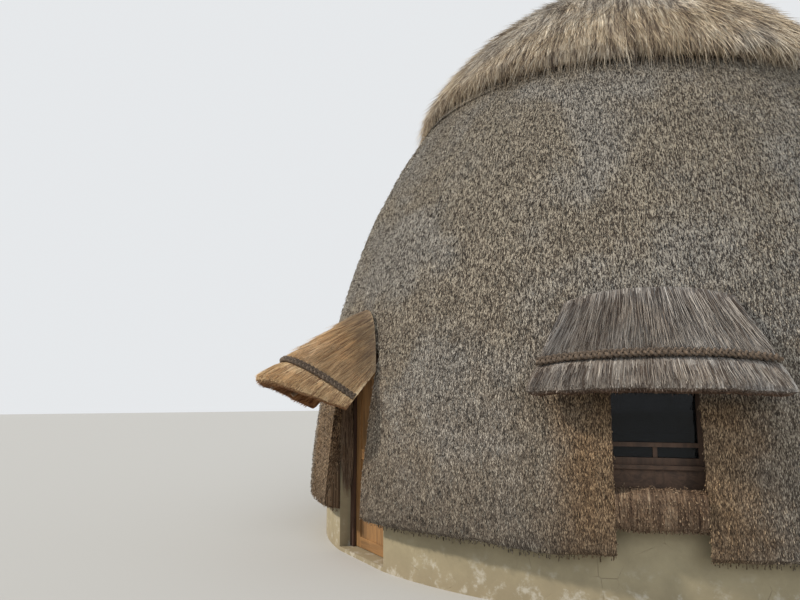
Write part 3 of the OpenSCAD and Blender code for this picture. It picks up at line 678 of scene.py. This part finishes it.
def straw_finish(name, tones, grey=0.35, locked=0.2, stubble=0.0, shelters_with_shade=(), merge=None):
    """Straw in three tones, greyed in patches, damp at the foot, and brown with painted shade on its
    undersides. It is combed, or the stubble of reed whose tufts are as long as stubble says. Below the
    shelters, which are azimuths with half widths, it has stayed brown and is darkened by painted shade.
    merge is a tone that the top edge takes on."""
    shader = StrawShader(name)
    dark, mid, light = tones
    patches, spots, height = shader.patches, shader.spots, shader.height
    relief, tone = shader.stubble(stubble) if stubble else shader.combed(locked)
    tone = tone + patches * 0.3 + spots * 0.16 - 0.23
    low = shader.blend(shader.step(tone, 0.05, 0.45), dark, mid)
    bright = shader.blend(shader.step(tone, 0.45, 0.95), low, light)
    weathered = shader.node("ShaderNodeHueSaturation", {}, {
        "Color": bright, "Saturation": 1.0 - shader.step(patches, 0.4, 0.65) * grey,
        "Value": 1.1 - shader.step(spots, 0.3, 0.7) * 0.2})["Color"]
    damp = (1.0 - shader.step(height + spots * 0.5, 0.65, 1.5)) * 0.35
    final = shader.blend(damp, weathered, shade(dark, 0.8))
    if merge:
        top = 1.0 - shader.step(shader.run + spots * 0.3, 0.15, 0.5)
        final = shader.blend(top * 0.6, final, merge)
    # Below the hoods the reed is browner and darkened by painted shade.
    for azimuth, half in shelters_with_shade:
        final = shader.blend(shader.sheltered(azimuth, half) * 0.85, final, (0.9, 0.68, 0.46), "MULTIPLY")
    # The hoods' undersides turn a darker brown: partly the straw's own colour, partly painted shade.
    final = shader.blend(shader.layer("inside") * 0.95, final, (0.42, 0.27, 0.19), "MULTIPLY")
    return shader.finish(final, 0.78 + spots * 0.2, relief + spots * 0.3, 0.012,
                         {"Specular IOR Level": 0.25})


def plaster_finish(colours):
    """Rubbed earth plaster: trowel waves, sand, hair cracks, damp at the foot and pale bloom"""
    shader = Shader("plaster")
    z = shader.parts(shader.place)[2]
    waves = shader.noise(2.2, 3.0, warp=0.4)
    sand = shader.noise(160.0, 2.0)
    blotch = shader.noise(4.0, 5.0, rough=0.65)
    joints = shader.cells(3.2, shader.stretched((1, 1, 0.7)), "DISTANCE_TO_EDGE")["Distance"]
    cracks = (1.0 - shader.step(joints, 0.0, 0.012)) * shader.step(blotch, 0.5, 0.64)
    tone = shader.blend(shader.step(blotch, 0.3, 0.7), shade(colours.plaster, 0.82), colours.plaster)
    damp = (1.0 - shader.step(z + waves * 0.22, 0.1, 0.42)) * 0.55
    stained = shader.blend(damp, tone, colours.plaster_stain)
    bloom = shader.step(shader.noise(7.0, 4.0, rough=0.7), 0.52, 0.68) \
        * (1.0 - shader.step(z, 0.12, 0.42)) * 0.4
    limed = shader.blend(bloom, stained, colours.lime)
    lined = shader.blend(cracks * 0.6, limed, colours.plaster_stain)
    relief = waves + sand * 0.05 - cracks * 0.25 + blotch * 0.2
    return shader.finish(lined, 0.86 + sand * 0.1, relief, 0.012, {"Specular IOR Level": 0.3})


def floor_finish(colours):
    """Rubbed earth floor, darker in worn patches, with fine sand"""
    shader = Shader("earth_floor")
    worn = shader.noise(1.6, 4.0, warp=0.5)
    sand = shader.noise(90.0, 3.0)
    tone = shader.blend(shader.step(worn, 0.35, 0.65), shade(colours.floor, 0.7), colours.floor)
    return shader.finish(tone, 0.7 + worn * 0.2, worn + sand * 0.1, 0.006)


def wood_finish(name, colour, along, scale=1.0, rough=0.55, crossed=None):
    """Timber with grain along an axis, with growth bands, pores and scuffs. crossed tells, from the
    shader's place, where the grain runs along x instead."""
    shader = Shader(name)

    def grain_along(axis):
        thin = [14.0 * scale] * 3
        thin[axis] = 1.1 * scale
        return shader.stretched(thin)

    grain = grain_along(along)
    if crossed:
        grain = shader.node("ShaderNodeMix", {"data_type": "VECTOR"},
                            {0: crossed(shader), 4: grain, 5: grain_along(0)})[1]
    bands = shader.noise(1.0, 4.0, grain, 0.6, 1.2)
    pores = shader.noise(9.0, 3.0, grain, 0.7)
    scuffs = shader.noise(6.0, 5.0, rough=0.7)
    tone = shader.blend(shader.step(bands, 0.34, 0.66), shade(colour, 0.55), colour)
    fine = shader.blend(shader.step(pores, 0.5, 0.75) * 0.4, tone, shade(colour, 0.35))
    pale = [min(1.0, 1.7 * c + 0.02) for c in colour]
    rubbed = shader.blend(shader.step(scuffs, 0.58, 0.76) * 0.35, fine, pale)
    return shader.finish(rubbed, rough + pores * 0.25, bands * 0.6 + pores * 0.5, 0.003)


def bark_finish(colours):
    """Saplings with strips of bark left on, peeled and split in places"""
    shader, wood = Shader("poles"), colours.pole_wood
    strips = shader.noise(7.0, 5.0, rough=0.7, warp=1.5)
    knots = 1.0 - shader.step(shader.cells(9.0)["Distance"], 0.05, 0.16)
    fine = shader.noise(55.0, 4.0)
    peeled = shader.blend(shader.step(strips, 0.45, 0.58), wood, shade(wood, 1.9))
    knotted = shader.blend(knots * 0.7, peeled, shade(wood, 0.4))
    return shader.finish(knotted, 0.7 + fine * 0.2, strips + fine * 0.35, 0.006)


def rope_finish(colours):
    """Plaited grass: twisted fibres with light and dark strands"""
    shader, rope = Shader("rope"), colours.rope
    fibres = shader.noise(70.0, 4.0, shader.stretched((1.0, 1.0, 0.35)), 0.7, 1.0)
    age = shader.noise(6.0, 3.0)
    tone = shader.blend(shader.step(fibres, 0.35, 0.7), shade(rope, 0.5), shade(rope, 1.9))
    old = shader.blend(shader.step(age, 0.5, 0.75) * 0.5, tone, rope)
    return shader.finish(old, 0.8 + fibres * 0.1, fibres, 0.004)


def iron_finish(colours):
    """Blackened iron, brown with rust in places"""
    shader = Shader("iron")
    rust = shader.noise(22.0, 5.0, rough=0.75)
    pits = shader.noise(120.0, 2.0)
    share = shader.step(rust, 0.52, 0.66)
    tone = shader.blend(share * 0.7, colours.iron, (0.16, 0.07, 0.03))
    return shader.finish(tone, 0.42 + share * 0.35 + pits * 0.08, pits + rust, 0.0008,
                         {"Metallic": 0.85 - share * 0.6})


def glass_finish(colours):
    """Window glass, tinted dark as painted shade of the room behind it, with dust in patches and faint
    waves
    """
    shader = Shader("glass")
    waves = shader.noise(3.0, 2.0)
    dust = shader.step(shader.noise(9.0, 5.0, rough=0.7), 0.48, 0.8)
    return shader.finish(colours.glass, 0.02 + dust * 0.22, waves, 0.0015,
                         {"Transmission Weight": 0.9, "IOR": 1.3})


# Hoods, plaits and rolls

class Hood:
    """A thatched hood's surface: s runs across it from -1 to 1, and v down it from 0 to its lip at 1"""
    THICKNESS, FEATHER, LUMPS = 0.13, 0.025, 0.012
    GROOVE, GROOVE_WIDTH = 0.028, 0.04
    LIP_ROUND, LIP_START = 0.02, 0.93
    CUT_ROWS, CUT_DEPTHS, CUT_COVER = (1.0, 0.995, 0.98), (0.26, 0.6, 0.9), (0.4, 0.2, 0.1)
    UNDER_COVER, END_SHARE = 0.05, 0.15
    REACH_AT_BINDING, REACH_AT_LIP = 0.18, 0.05
    BARE_ABOVE, BARE_BELOW = 0.055, 0.01

    def __init__(self, shape, dome, azimuth):
        self.shape, self.azimuth = shape, azimuth
        self.low, self.arc = dome.centres[0][0], dome.radii[0]
        self.slope = np.linalg.norm(self.at(0.0, 1.0) - self.at(0.0, 0.0))

    def at(self, s, v):
        """Points of the nominal surface, drawn facing -Y"""
        h = self.shape
        s, v = np.broadcast_arrays(np.asarray(s, float), np.asarray(v, float))
        drop = np.abs(s) ** h.droop
        top_z, lip_z = h.top_z - h.top_fall * drop, h.lip_z - h.lip_fall * drop
        z = top_z + (lip_z - top_z) * v
        out = self.FEATHER + (h.out + (h.end_out - h.out) * s * s - self.FEATHER) * v
        r = self.low + np.sqrt((self.arc + out) ** 2 - z * z)
        x = s * (h.top_half + (h.lip_half - h.top_half) * v)
        return np.stack([x, -np.sqrt(r * r - x * x), z], -1)

    def directions(self, s, v):
        """Directions down and out of the surface"""
        d = 0.01
        across = unit(self.at(s + d, v) - self.at(s - d, v))
        down = unit(self.at(s, v + d) - self.at(s, v - d))
        return down, unit(np.cross(down, across))

    def sunk(self, s, v, depth, clear):
        """Points a depth below the surface, kept clear of the dome"""
        p = self.at(s, v) - np.asarray(depth)[..., None] * self.directions(s, v)[1]
        r = np.linalg.norm(p[..., :2], axis=-1)
        least = self.low + np.sqrt((self.arc + clear) ** 2 - p[..., 2] ** 2)
        p[..., :2] *= np.maximum(1.0, least / r)[..., None]
        return p

    def build(self, name, straw_length):
        """The hood's thatch, pinched at the binding, with an uneven lip cut square"""
        bind, lumpy = self.shape.binding, self.LUMPS
        s = np.linspace(-1, 1, 61)[:, None]
        upper = np.concatenate([np.linspace(0, bind, 22), np.linspace(bind, 1, 9)[1:]])
        lower = np.array([*self.CUT_ROWS, 0.9, bind, 0.65, 0.5, 0.33, 0.16, 0.0])
        v, n, behind_cut = np.concatenate([upper, lower]), len(upper), len(lower) - len(self.CUT_ROWS)
        depth = self.THICKNESS * np.array([*self.CUT_DEPTHS, *[1.0] * behind_cut])
        slope = np.linalg.norm(self.at(s, 1.0) - self.at(s, 0.0), axis=-1)

        pinch = self.GROOVE * np.exp(-((upper - bind) * self.slope / self.GROOVE_WIDTH) ** 2)
        edge = self.LIP_ROUND * np.clip((upper - self.LIP_START) / (1 - self.LIP_START), 0, 1) ** 2
        top = self.sunk(s, upper, pinch + edge, 0.012)
        under = self.sunk(s, lower, depth, 0.002)
        down, out = self.directions(s, v)
        top += out[:, :n] * lumps(top, (0.5, lumpy), (0.16, lumpy * 0.6)) \
            * np.clip(upper * 4, 0, 1)[:, None]
        under -= out[:, n:] * np.abs(lumps(under, (0.2, lumpy))) \
            * ((lower > 0.3) & (lower < 0.95))[:, None]
        points = np.concatenate([top, under], 1)
        lip = np.abs(v - 0.99) < 0.011
        points[:, lip] += down[:, lip] * lumps(top[:, -1:], (0.11, lumpy), (0.4, lumpy))

        left = np.where(upper < bind, bind - upper, 1.0 - upper) * slope
        least = np.where(upper < bind, self.REACH_AT_BINDING, self.REACH_AT_LIP)
        reach = np.hstack([np.clip(0.8 * left / straw_length, least, 1.0), 0.1 + 0 * s * lower])
        cover = np.concatenate([np.ones(n), self.CUT_COVER, np.full(behind_cut, self.UNDER_COVER)])
        past = (v - bind) * slope
        cover = np.where((past > -self.BARE_ABOVE) & (past < self.BARE_BELOW), 0.0, cover)
        ends = np.where(np.abs(s) < 0.999, 1.0, self.END_SHARE)
        # The cut face and underside are marked for a darker brown: partly the straw's own colour, partly
        # painted shade under the hood.
        inside = np.concatenate([np.zeros(n), [0.55], np.ones(len(lower) - 1)])
        sunk = np.concatenate([np.zeros(n), depth])
        lay = np.stack(np.broadcast_arrays(s * 1.6, 0.3 + sunk, v * self.slope), -1)
        return mesh_object(name, turned(points, self.azimuth), skin_faces(len(s), len(v)),
                           {"cover": cover * ends, "reach": reach * ends,
                            "flow": turned(down, self.azimuth), "lay": lay, "inside": inside + 0 * s})

    def plait(self, name, strands=3, pitch=0.13, sides=6):
        """The three-strand rope that binds the hood"""
        end, bind, steps_per_pitch = 0.995, self.shape.binding, 14
        raised, swing, dip, radius = 0.012, 0.02, 0.01, 0.0145
        s = np.linspace(-end, end, 50)
        rough = np.linalg.norm(np.diff(self.at(s, bind), axis=0), axis=1).sum()
        steps = math.ceil(steps_per_pitch * rough / pitch)
        s = np.linspace(-end, end, steps)
        line = self.sunk(s, bind, np.full(steps, -raised), 0.0)
        down, out = self.directions(s, bind)
        run = np.concatenate([[0], np.cumsum(np.linalg.norm(np.diff(line, axis=0), axis=1))])
        ring = np.linspace(0, FULL_TURN, sides, endpoint=False)[:, None]
        points, faces = [], []
        for strand in range(strands):
            turn = FULL_TURN * (run / pitch + strand / strands)
            centre = line + down * (swing * np.sin(turn))[:, None] + out * (dip * np.sin(2 * turn))[:, None]
            width = radius * (1 + 0.12 * np.sin(37 * run + strand))
            points.append(centre[:, None] + width[:, None, None]
                          * (np.cos(ring) * out[:, None] + np.sin(ring) * down[:, None]))
            faces += [[strand * steps * sides + i for i in face] for face in skin_faces(steps, sides)]
        return mesh_object(name, turned(np.concatenate(points), self.azimuth), faces, {})


def thatch_roll(name, settings, side):
    """The bundle of thatch that hangs across the gap below a window"""
    dome, uneven = settings.dome, settings.straw.coat_lumps
    height, thick, above_wall, over_wall, clear = 0.28, 0.18, 0.03, 0.07, 0.004
    half, azimuth = dome.window_gap / 2 - clear / 2, side * dome.window_azimuth
    ring = np.linspace(0, FULL_TURN, 22, endpoint=False)
    x = np.linspace(-half, half, 22)[:, None]
    rise, flat = np.sin(ring), np.sign(np.cos(ring)) * np.abs(np.cos(ring)) ** 0.7
    z = dome.wall_top + above_wall + height / 2 * (rise - 1)
    lean = over_wall * np.clip((z - dome.wall_top - clear) / 0.015, 0, 1)
    radius = dome.wall_radius + clear + thick / 2 * (1 + flat) - lean
    free = (flat > -0.6) + 0 * x
    points = np.stack(np.broadcast_arrays(x, -np.sqrt(radius ** 2 - x ** 2), z), -1)
    outward = np.stack([0 * flat, -flat, rise], -1)
    points += outward * lumps(points, (0.16, uneven), (0.06, uneven * 0.6)) * free[..., None]
    down = unit(np.stack([0 * ring, -0.25 * rise, -1 + 0.6 * (rise > 0.8)], -1)) + 0 * points
    return mesh_object(name, turned(points, azimuth), skin_faces(len(x), len(ring)),
                       {"cover": free, "flow": turned(down, azimuth), "lay": points * [1, 0, 1],
                        "reach": 0.6 + 0.4 * (rise > -0.3) + 0 * x})


def door_lining(name, settings, side):
    """The bundle of reed that lines the corner between the dome's thatch and the door frame"""
    uneven = settings.straw.coat_lumps
    frame_low, frame_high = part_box("door_frame")
    half_wide, half_deep, overlap, clear = 0.042, 0.055, 0.032, 0.006
    below_wall, below_head, tip = 0.17, 0.02, 0.2
    z = np.linspace(settings.dome.wall_top - below_wall, frame_high[2] - below_head, 40)
    ring = np.linspace(0, FULL_TURN, 16, endpoint=False)
    taper = 0.35 + 0.65 * np.clip((z - z[0]) / tip, 0, 1) ** 0.6
    outward = np.stack([np.cos(ring), np.sin(ring), 0 * ring], -1) + np.zeros((len(z), 1, 1))
    points = outward * [half_wide, half_deep, 1.0] * taper[:, None, None]
    points += [side * (frame_high[0] - overlap), frame_low[1] - half_deep - clear, 0.0]
    points[..., 2] += z[:, None]
    points += outward * lumps(points, (0.3, uneven), (0.07, 0.4 * uneven))
    plain = np.ones(points.shape[:2])
    return mesh_object(name, points, skin_faces(len(z), len(ring)),
                       {"cover": plain, "flow": 0 * points - [0, 0, 1], "lay": points,
                        "reach": 0.7 * plain})


def tones_of(colours, name):
    """The dark, middle and light tone of one kind of straw"""
    return [getattr(colours, f"{name}_{tone}") for tone in ("dark", "mid", "light")]


# Operators: one for each group of pieces, and one for the stage

class HUT_OT_walls(bpy.types.Operator):
    """Finish the plastered ring wall, the threshold and the floor"""
    bl_idname = "hut.walls"
    bl_label = "Walls and Floor"
    bl_options = {"REGISTER", "UNDO"}

    def execute(self, context):
        colours = context.scene.hut.colours
        dress(plaster_finish(colours), *cad_nodes("ring_wall"), "door_threshold")
        dress(floor_finish(colours), "floor_slab")
        return {"FINISHED"}


class HUT_OT_poles(bpy.types.Operator):
    """Finish the bent poles, hoops, crown ring and hood rafters"""
    bl_idname = "hut.poles"
    bl_label = "Pole Frame"
    bl_options = {"REGISTER", "UNDO"}

    def execute(self, context):
        dress(bark_finish(context.scene.hut.colours), "bent_poles", "hoops", "crown_ring",
              "porch_rafters", *cad_nodes("window_rafters"))
        return {"FINISHED"}


class HUT_OT_reed_coat(bpy.types.Operator):
    """Lay the stubbly reed coat of the dome"""
    bl_idname = "hut.reed_coat"
    bl_label = "Reed Coat"
    bl_options = {"REGISTER", "UNDO"}
    DOOR_REBATE, WINDOW_REBATE, CLEAR = 0.075, 0.042, 0.001
    SKIRT_RUN, INNER_RUN, RING_RUN = 1.6, 1.1, 1.5

    def execute(self, context):
        hut = context.scene.hut
        shape, straw, window = hut.dome, hut.straw, hut.dome.window_azimuth
        coat, inward = Coat(hut), -shape.thickness
        dome, step = coat.dome, straw.coat_step
        # Below the porch and the windows the reed is browned, with painted shade of the hoods.
        finish = straw_finish("dome_thatch", tones_of(hut.colours, "reed"), stubble=straw.reed_length,
                              shelters_with_shade=((-0.1, 0.75), (window, 0.6), (-window, 0.6)))
        dress(finish, "thatch_ring_3", "thatch_crown")

        def reeds(obj, seed, nodes):
            thatch(obj, cut_reed, finish, "dome_thatch", *nodes, density=straw.reed_density, seed=seed,
                   length=straw.reed_length, width=straw.reed_width, lift=0.22, spread=0.16, sink=0.012)

        ring_a = dome.slope_at(shape.head, inward)
        hem_a = dome.slope_at(shape.skirt_z + shape.skirt_bevel)
        inner_a = dome.slope_at(shape.wall_top, inward)
        outer = [[hem_a - 0.4 * shape.skirt_bevel / shape.lower_arc, -0.55 * shape.skirt_bevel],
                 *([a, 0.0] for a in spaced(hem_a, ring_a, self.SKIRT_RUN, step))]
        inner = [[a, inward] for a in spaced(inner_a, ring_a, self.INNER_RUN, 0.3)]
        on_wall, at_wall = shape.wall_top + self.CLEAR, shape.wall_radius + self.CLEAR
        foot = [[dome.section(inner_a, inward)[0], on_wall], [at_wall, on_wall], [at_wall, shape.skirt_z]]
        radii = np.concatenate([dome.section(*np.array(outer).T)[:, 0],
                                dome.section(*np.array(inner[::-1]).T)[:, 0], np.array(foot)[:, 0]])
        within = np.arange(len(radii)) >= len(outer)

        def edge(azimuth, gap, rebate, sign):
            """Azimuths of a gap's edge at each point of the section, with a rebate behind its face"""
            return azimuth + sign * np.arcsin((gap / 2 + rebate * within) / radii)

        def lower(name, start, end, seed, *nodes):
            share = spaced(0, 1, (end - start)[0] * shape.radius, step)[:, None]
            reeds(coat.build(name, outer, inner, start + (end - start) * share, extra=foot,
                             hem_wave=0.03, hem_reach=0.35), seed, nodes)

        beside_door = edge(0.0, shape.door_gap, self.DOOR_REBATE, 1)
        near, far = (edge(window, shape.window_gap, self.WINDOW_REBATE, sign) for sign in (-1, 1))
        lower("reed_front_right", beside_door, near, 12, "thatch_front_right")
        lower("reed_front_left", -near, -beside_door, 10, "thatch_front_left")
        lower("reed_back", far, FULL_TURN - far, 20, *cad_nodes("thatch_back"))

        def ring(name, start, end, seed, *nodes):
            across = spaced(0, FULL_TURN, FULL_TURN * shape.radius * 0.85, step)[:-1]
            rows = [[a, 0.0] for a in spaced(start, end, dome.length(end) - dome.length(start), step)]
            under = [[a, inward] for a in spaced(start, end, self.RING_RUN, 0.25)]
            azimuths = across[:, None] + np.zeros(len(rows) + len(under))
            reeds(coat.build(name, rows, under, azimuths, closed=True), seed, nodes)

        middle = (shape.lower_end + shape.shoulder_end) / 2
        ring("reed_ring_lower", ring_a, shape.lower_end, 31, "thatch_ring_1")
        ring("reed_ring_upper", shape.lower_end, middle, 32, "thatch_ring_2")
        return {"FINISHED"}


class HUT_OT_crown_cap(bpy.types.Operator):
    """Lay the loose shaggy cap over the crown"""
    bl_idname = "hut.crown_cap"
    bl_label = "Crown Cap"
    bl_options = {"REGISTER", "UNDO"}
    HEM = ((0.006, 0.15), (0.0, 0.35), (0.0, 0.62), (0.006, 0.85))
    RUN, GIRTH = 2.9, 16.0

    def execute(self, context):
        hut = context.scene.hut
        shape, straw = hut.dome, hut.straw
        finish = straw_finish("cap_straw", tones_of(hut.colours, "cap"), locked=0.5)
        hem, top = shape.cap_start + 0.85 * straw.cap_length / shape.shoulder_arc, math.pi / 2

        def thickness(a):
            rise = math.sin(math.pi / 2 * min((a - shape.cap_start) / shape.cap_swell, 1.0))
            return shape.cap_thickness + (shape.cap_crown - shape.cap_thickness) * rise

        rows = [[hem + past_hem, share * shape.cap_thickness] for past_hem, share in self.HEM]
        rows += [[a, thickness(a)] for a in spaced(hem + 0.018, top, self.RUN, straw.coat_step)]
        under = [[a, 0.001] for a in spaced(hem + 0.012, top, self.RUN, 0.35)]
        across = spaced(0, FULL_TURN, self.GIRTH, straw.coat_step)[:-1]
        turn = across - shape.cap_low
        tilt = shape.shoulder_arc * (shape.cap_tilt * np.cos(turn) + shape.cap_sway * np.cos(2 * turn))
        azimuths = across[:, None] + np.zeros(len(rows) + len(under))
        obj = Coat(hut).build("crown_straw", rows, under, azimuths, closed=True, hem_wave=0.07,
                              depth=1.3, tilt=tilt, comb=0.3)
        thatch(obj, long_straw, finish, "cap_straw", "crown_cap", density=straw.cap_density, seed=41,
               length=straw.cap_length, width=straw.cap_width, lift=0.1, spread=0.16, sink=0.02)
        return {"FINISHED"}


class HUT_OT_hoods(bpy.types.Operator):
    """Lay the combed straw of the porch and window hoods, with their plaited bindings"""
    bl_idname = "hut.hoods"
    bl_label = "Hoods"
    bl_options = {"REGISTER", "UNDO"}

    def execute(self, context):
        hut = context.scene.hut
        straw, colours, dome = hut.straw, hut.colours, Dome(hut.dome)
        rope = rope_finish(colours)

        def hood(name, shape, azimuth, finish, slot, seed, *cad):
            form = Hood(shape, dome, azimuth)
            obj = form.build(f"{name}_straw", straw.hood_length)
            thatch(obj, long_straw, finish, slot, cad[0], density=straw.hood_density, seed=seed,
                   length=straw.hood_length, width=straw.hood_width, lift=0.07, spread=0.1, sink=0.01)
            plait = form.plait(f"{name}_plait")
            plait.data.materials.append(rope)
            place(plait, "rope", cad[1])

        porch = straw_finish("porch_straw", tones_of(colours, "porch"), 0.12, merge=colours.reed_mid)
        hood("porch", hut.porch, 0.0, porch, "porch_straw", 51, "porch_hood", "porch_binding")
        eyelid = straw_finish("window_hood_straw", tones_of(colours, "eyelid"))
        for side, sign in SIDES.items():
            hood(f"window_{side}", hut.eyelid, sign * hut.dome.window_azimuth, eyelid,
                 "window_hood_straw", 60 + sign, f"window_hood_{side}", f"window_binding_{side}")
        return {"FINISHED"}


class HUT_OT_rolls(bpy.types.Operator):
    """Lay the rolls of thatch below the windows and the linings beside the door"""
    bl_idname = "hut.rolls"
    bl_label = "Thatch Rolls"
    bl_options = {"REGISTER", "UNDO"}

    def execute(self, context):
        hut = context.scene.hut
        straw = hut.straw
        finish = straw_finish("roll_straw", tones_of(hut.colours, "lining"), 0.1)
        dense = 3.0 * straw.reed_density
        for side, sign in SIDES.items():
            thatch(thatch_roll(f"roll_{side}", hut, sign), cut_reed, finish, "dome_thatch",
                   f"thatch_roll_{side}", density=dense, seed=70 + sign, length=0.7 * straw.reed_length,
                   width=straw.reed_width, lift=0.8, spread=0.3, sink=0.01)
            thatch(door_lining(f"door_lining_{side}", hut, sign), long_straw, finish, "dome_thatch",
                   density=dense, seed=80 + sign, length=straw.hood_length, width=straw.hood_width,
                   lift=0.05, spread=0.08, sink=0.005)
        return {"FINISHED"}


class HUT_OT_door(bpy.types.Operator):
    """Finish the door: leaf, frame, hinges and pulls"""
    bl_idname = "hut.door"
    bl_label = "Door"
    bl_options = {"REGISTER", "UNDO"}
    RAILS, RAIL_HALF, BETWEEN_STILES = (0.1, 0.99, 1.81), 0.0525, 0.31

    def execute(self, context):
        colours = context.scene.hut.colours

        def in_rail(shader):
            """1 on the leaf's rails, where the grain runs across"""
            x, y, z = shader.parts(shader.place)
            level = sum(shader.step(self.RAIL_HALF - abs(z - middle), 0.0, 0.001) for middle in self.RAILS)
            return level * shader.step(self.BETWEEN_STILES - abs(x), 0.0, 0.001)

        dress(wood_finish("door_timber", colours.door_wood, 2, crossed=in_rail), "door_leaf")
        dress(wood_finish("frame_timber", colours.frame_wood, 2, rough=0.5), "door_frame")
        dress(iron_finish(colours), "hinge_pins", "hinge_wings", "door_pull")
        return {"FINISHED"}


class HUT_OT_windows(bpy.types.Operator):
    """Finish the windows: frames, sills and glass"""
    bl_idname = "hut.windows"
    bl_label = "Windows"
    bl_options = {"REGISTER", "UNDO"}

    def execute(self, context):
        colours = context.scene.hut.colours
        dress(wood_finish("window_timber", colours.window_wood, 2, 1.3), *cad_nodes("window_frame"))
        dress(wood_finish("sill_timber", colours.window_wood, 0, 1.3), *cad_nodes("window_sill"))
        dress(glass_finish(colours), *cad_nodes("window_glass"))
        return {"FINISHED"}


class HUT_OT_stage(bpy.types.Operator):
    """Set up the studio: floor, light, background and camera"""
    bl_idname = "hut.stage"
    bl_label = "Stage"
    bl_options = {"REGISTER", "UNDO"}

    def execute(self, context):
        scene = context.scene
        stage, colours = scene.hut.stage, scene.hut.colours
        scene.view_settings.view_transform = "Standard"
        bpy.ops.mesh.primitive_plane_add(size=120.0, location=(0, 0, 0))
        plane = bpy.context.object
        plane.name = "studio_floor"
        plane.data.materials.append(Shader("studio_floor").finish(
            colours.ground, 0.9, others={"Specular IOR Level": 0.1}))

        scene.world = bpy.data.worlds.new("studio")
        scene.world.use_nodes = True
        sky = Graph(scene.world.node_tree)
        sky.tree.nodes.clear()
        rays = sky.node("ShaderNodeLightPath")
        seen = rays["Is Camera Ray"] | rays["Is Glossy Ray"] | rays["Is Transmission Ray"]
        glow = sky.node("ShaderNodeBackground", {}, {"Color": (0.86, 0.93, 1.0),
                                                     "Strength": stage.fill_strength})
        wall = sky.node("ShaderNodeBackground", {}, {"Color": (0.88, 0.9, 0.92), "Strength": 0.9})
        both = sky.node("ShaderNodeMixShader", {}, {0: seen, 1: glow[0], 2: wall[0]})
        sky.node("ShaderNodeOutputWorld", {}, {"Surface": both[0]})

        def stand(name, data, turn, at=(0, 0, 0)):
            obj = bpy.data.objects.new(name, data)
            obj.location, obj.rotation_euler = at, turn
            scene.collection.objects.link(obj)
            return obj

        def sun(name, energy, spread, tint, elevation, azimuth):
            light = bpy.data.lights.new(name, "SUN")
            light.energy, light.angle, light.color = energy, math.radians(spread), tint
            stand(name, light, (math.radians(90 - elevation), 0, math.radians(azimuth)))

        sun("key", stage.key_energy, 4.0, (1.0, 0.92, 0.8), 38.0, -24.0)
        sun("side", 0.25 * stage.key_energy, 30.0, (0.9, 0.95, 1.0), 30.0, 75.0)

        camera = bpy.data.cameras.new("camera")
        camera.sensor_width = 36.0
        camera.lens = stage.focal_pixels * camera.sensor_width / 800.0
        camera.clip_end = 500.0
        away, azimuth = stage.camera_distance, stage.camera_azimuth
        scene.camera = stand(
            "camera", camera, (math.pi / 2 + stage.camera_pitch, 0, azimuth + stage.camera_turn),
            (away * math.sin(azimuth), -away * math.cos(azimuth), stage.camera_height))
        return {"FINISHED"}


OPERATORS = (HUT_OT_stage, HUT_OT_walls, HUT_OT_poles, HUT_OT_reed_coat, HUT_OT_crown_cap, HUT_OT_hoods,
             HUT_OT_rolls, HUT_OT_door, HUT_OT_windows)


class HUT_PT_panel(bpy.types.Panel):
    """Buttons and settings of the hut"""
    bl_idname = "HUT_PT_panel"
    bl_label = "Thatched Beehive Hut"
    bl_space_type = "VIEW_3D"
    bl_region_type = "UI"
    bl_category = "Hut"

    def draw(self, context):
        for operator in OPERATORS:
            self.layout.operator(operator.bl_idname)
        for group in HutSettings.__annotations__:
            box = self.layout.box()
            box.label(text=group.title())
            settings = getattr(context.scene.hut, group)
            for name in settings.__annotations__:
                box.prop(settings, name)


CLASSES = (DomeShape, PorchShape, EyelidShape, StrawSizes, HutColours, StageSettings, HutSettings,
           *OPERATORS, HUT_PT_panel)


def register():
    for cls in CLASSES:
        bpy.utils.register_class(cls)
    bpy.types.Scene.hut = bpy.props.PointerProperty(type=HutSettings)


def unregister():
    del bpy.types.Scene.hut
    for cls in reversed(CLASSES):
        bpy.utils.unregister_class(cls)


def main():
    register()
    for operator in OPERATORS:
        getattr(bpy.ops.hut, operator.bl_idname.removeprefix("hut."))()


if __name__ == "__main__":
    main()
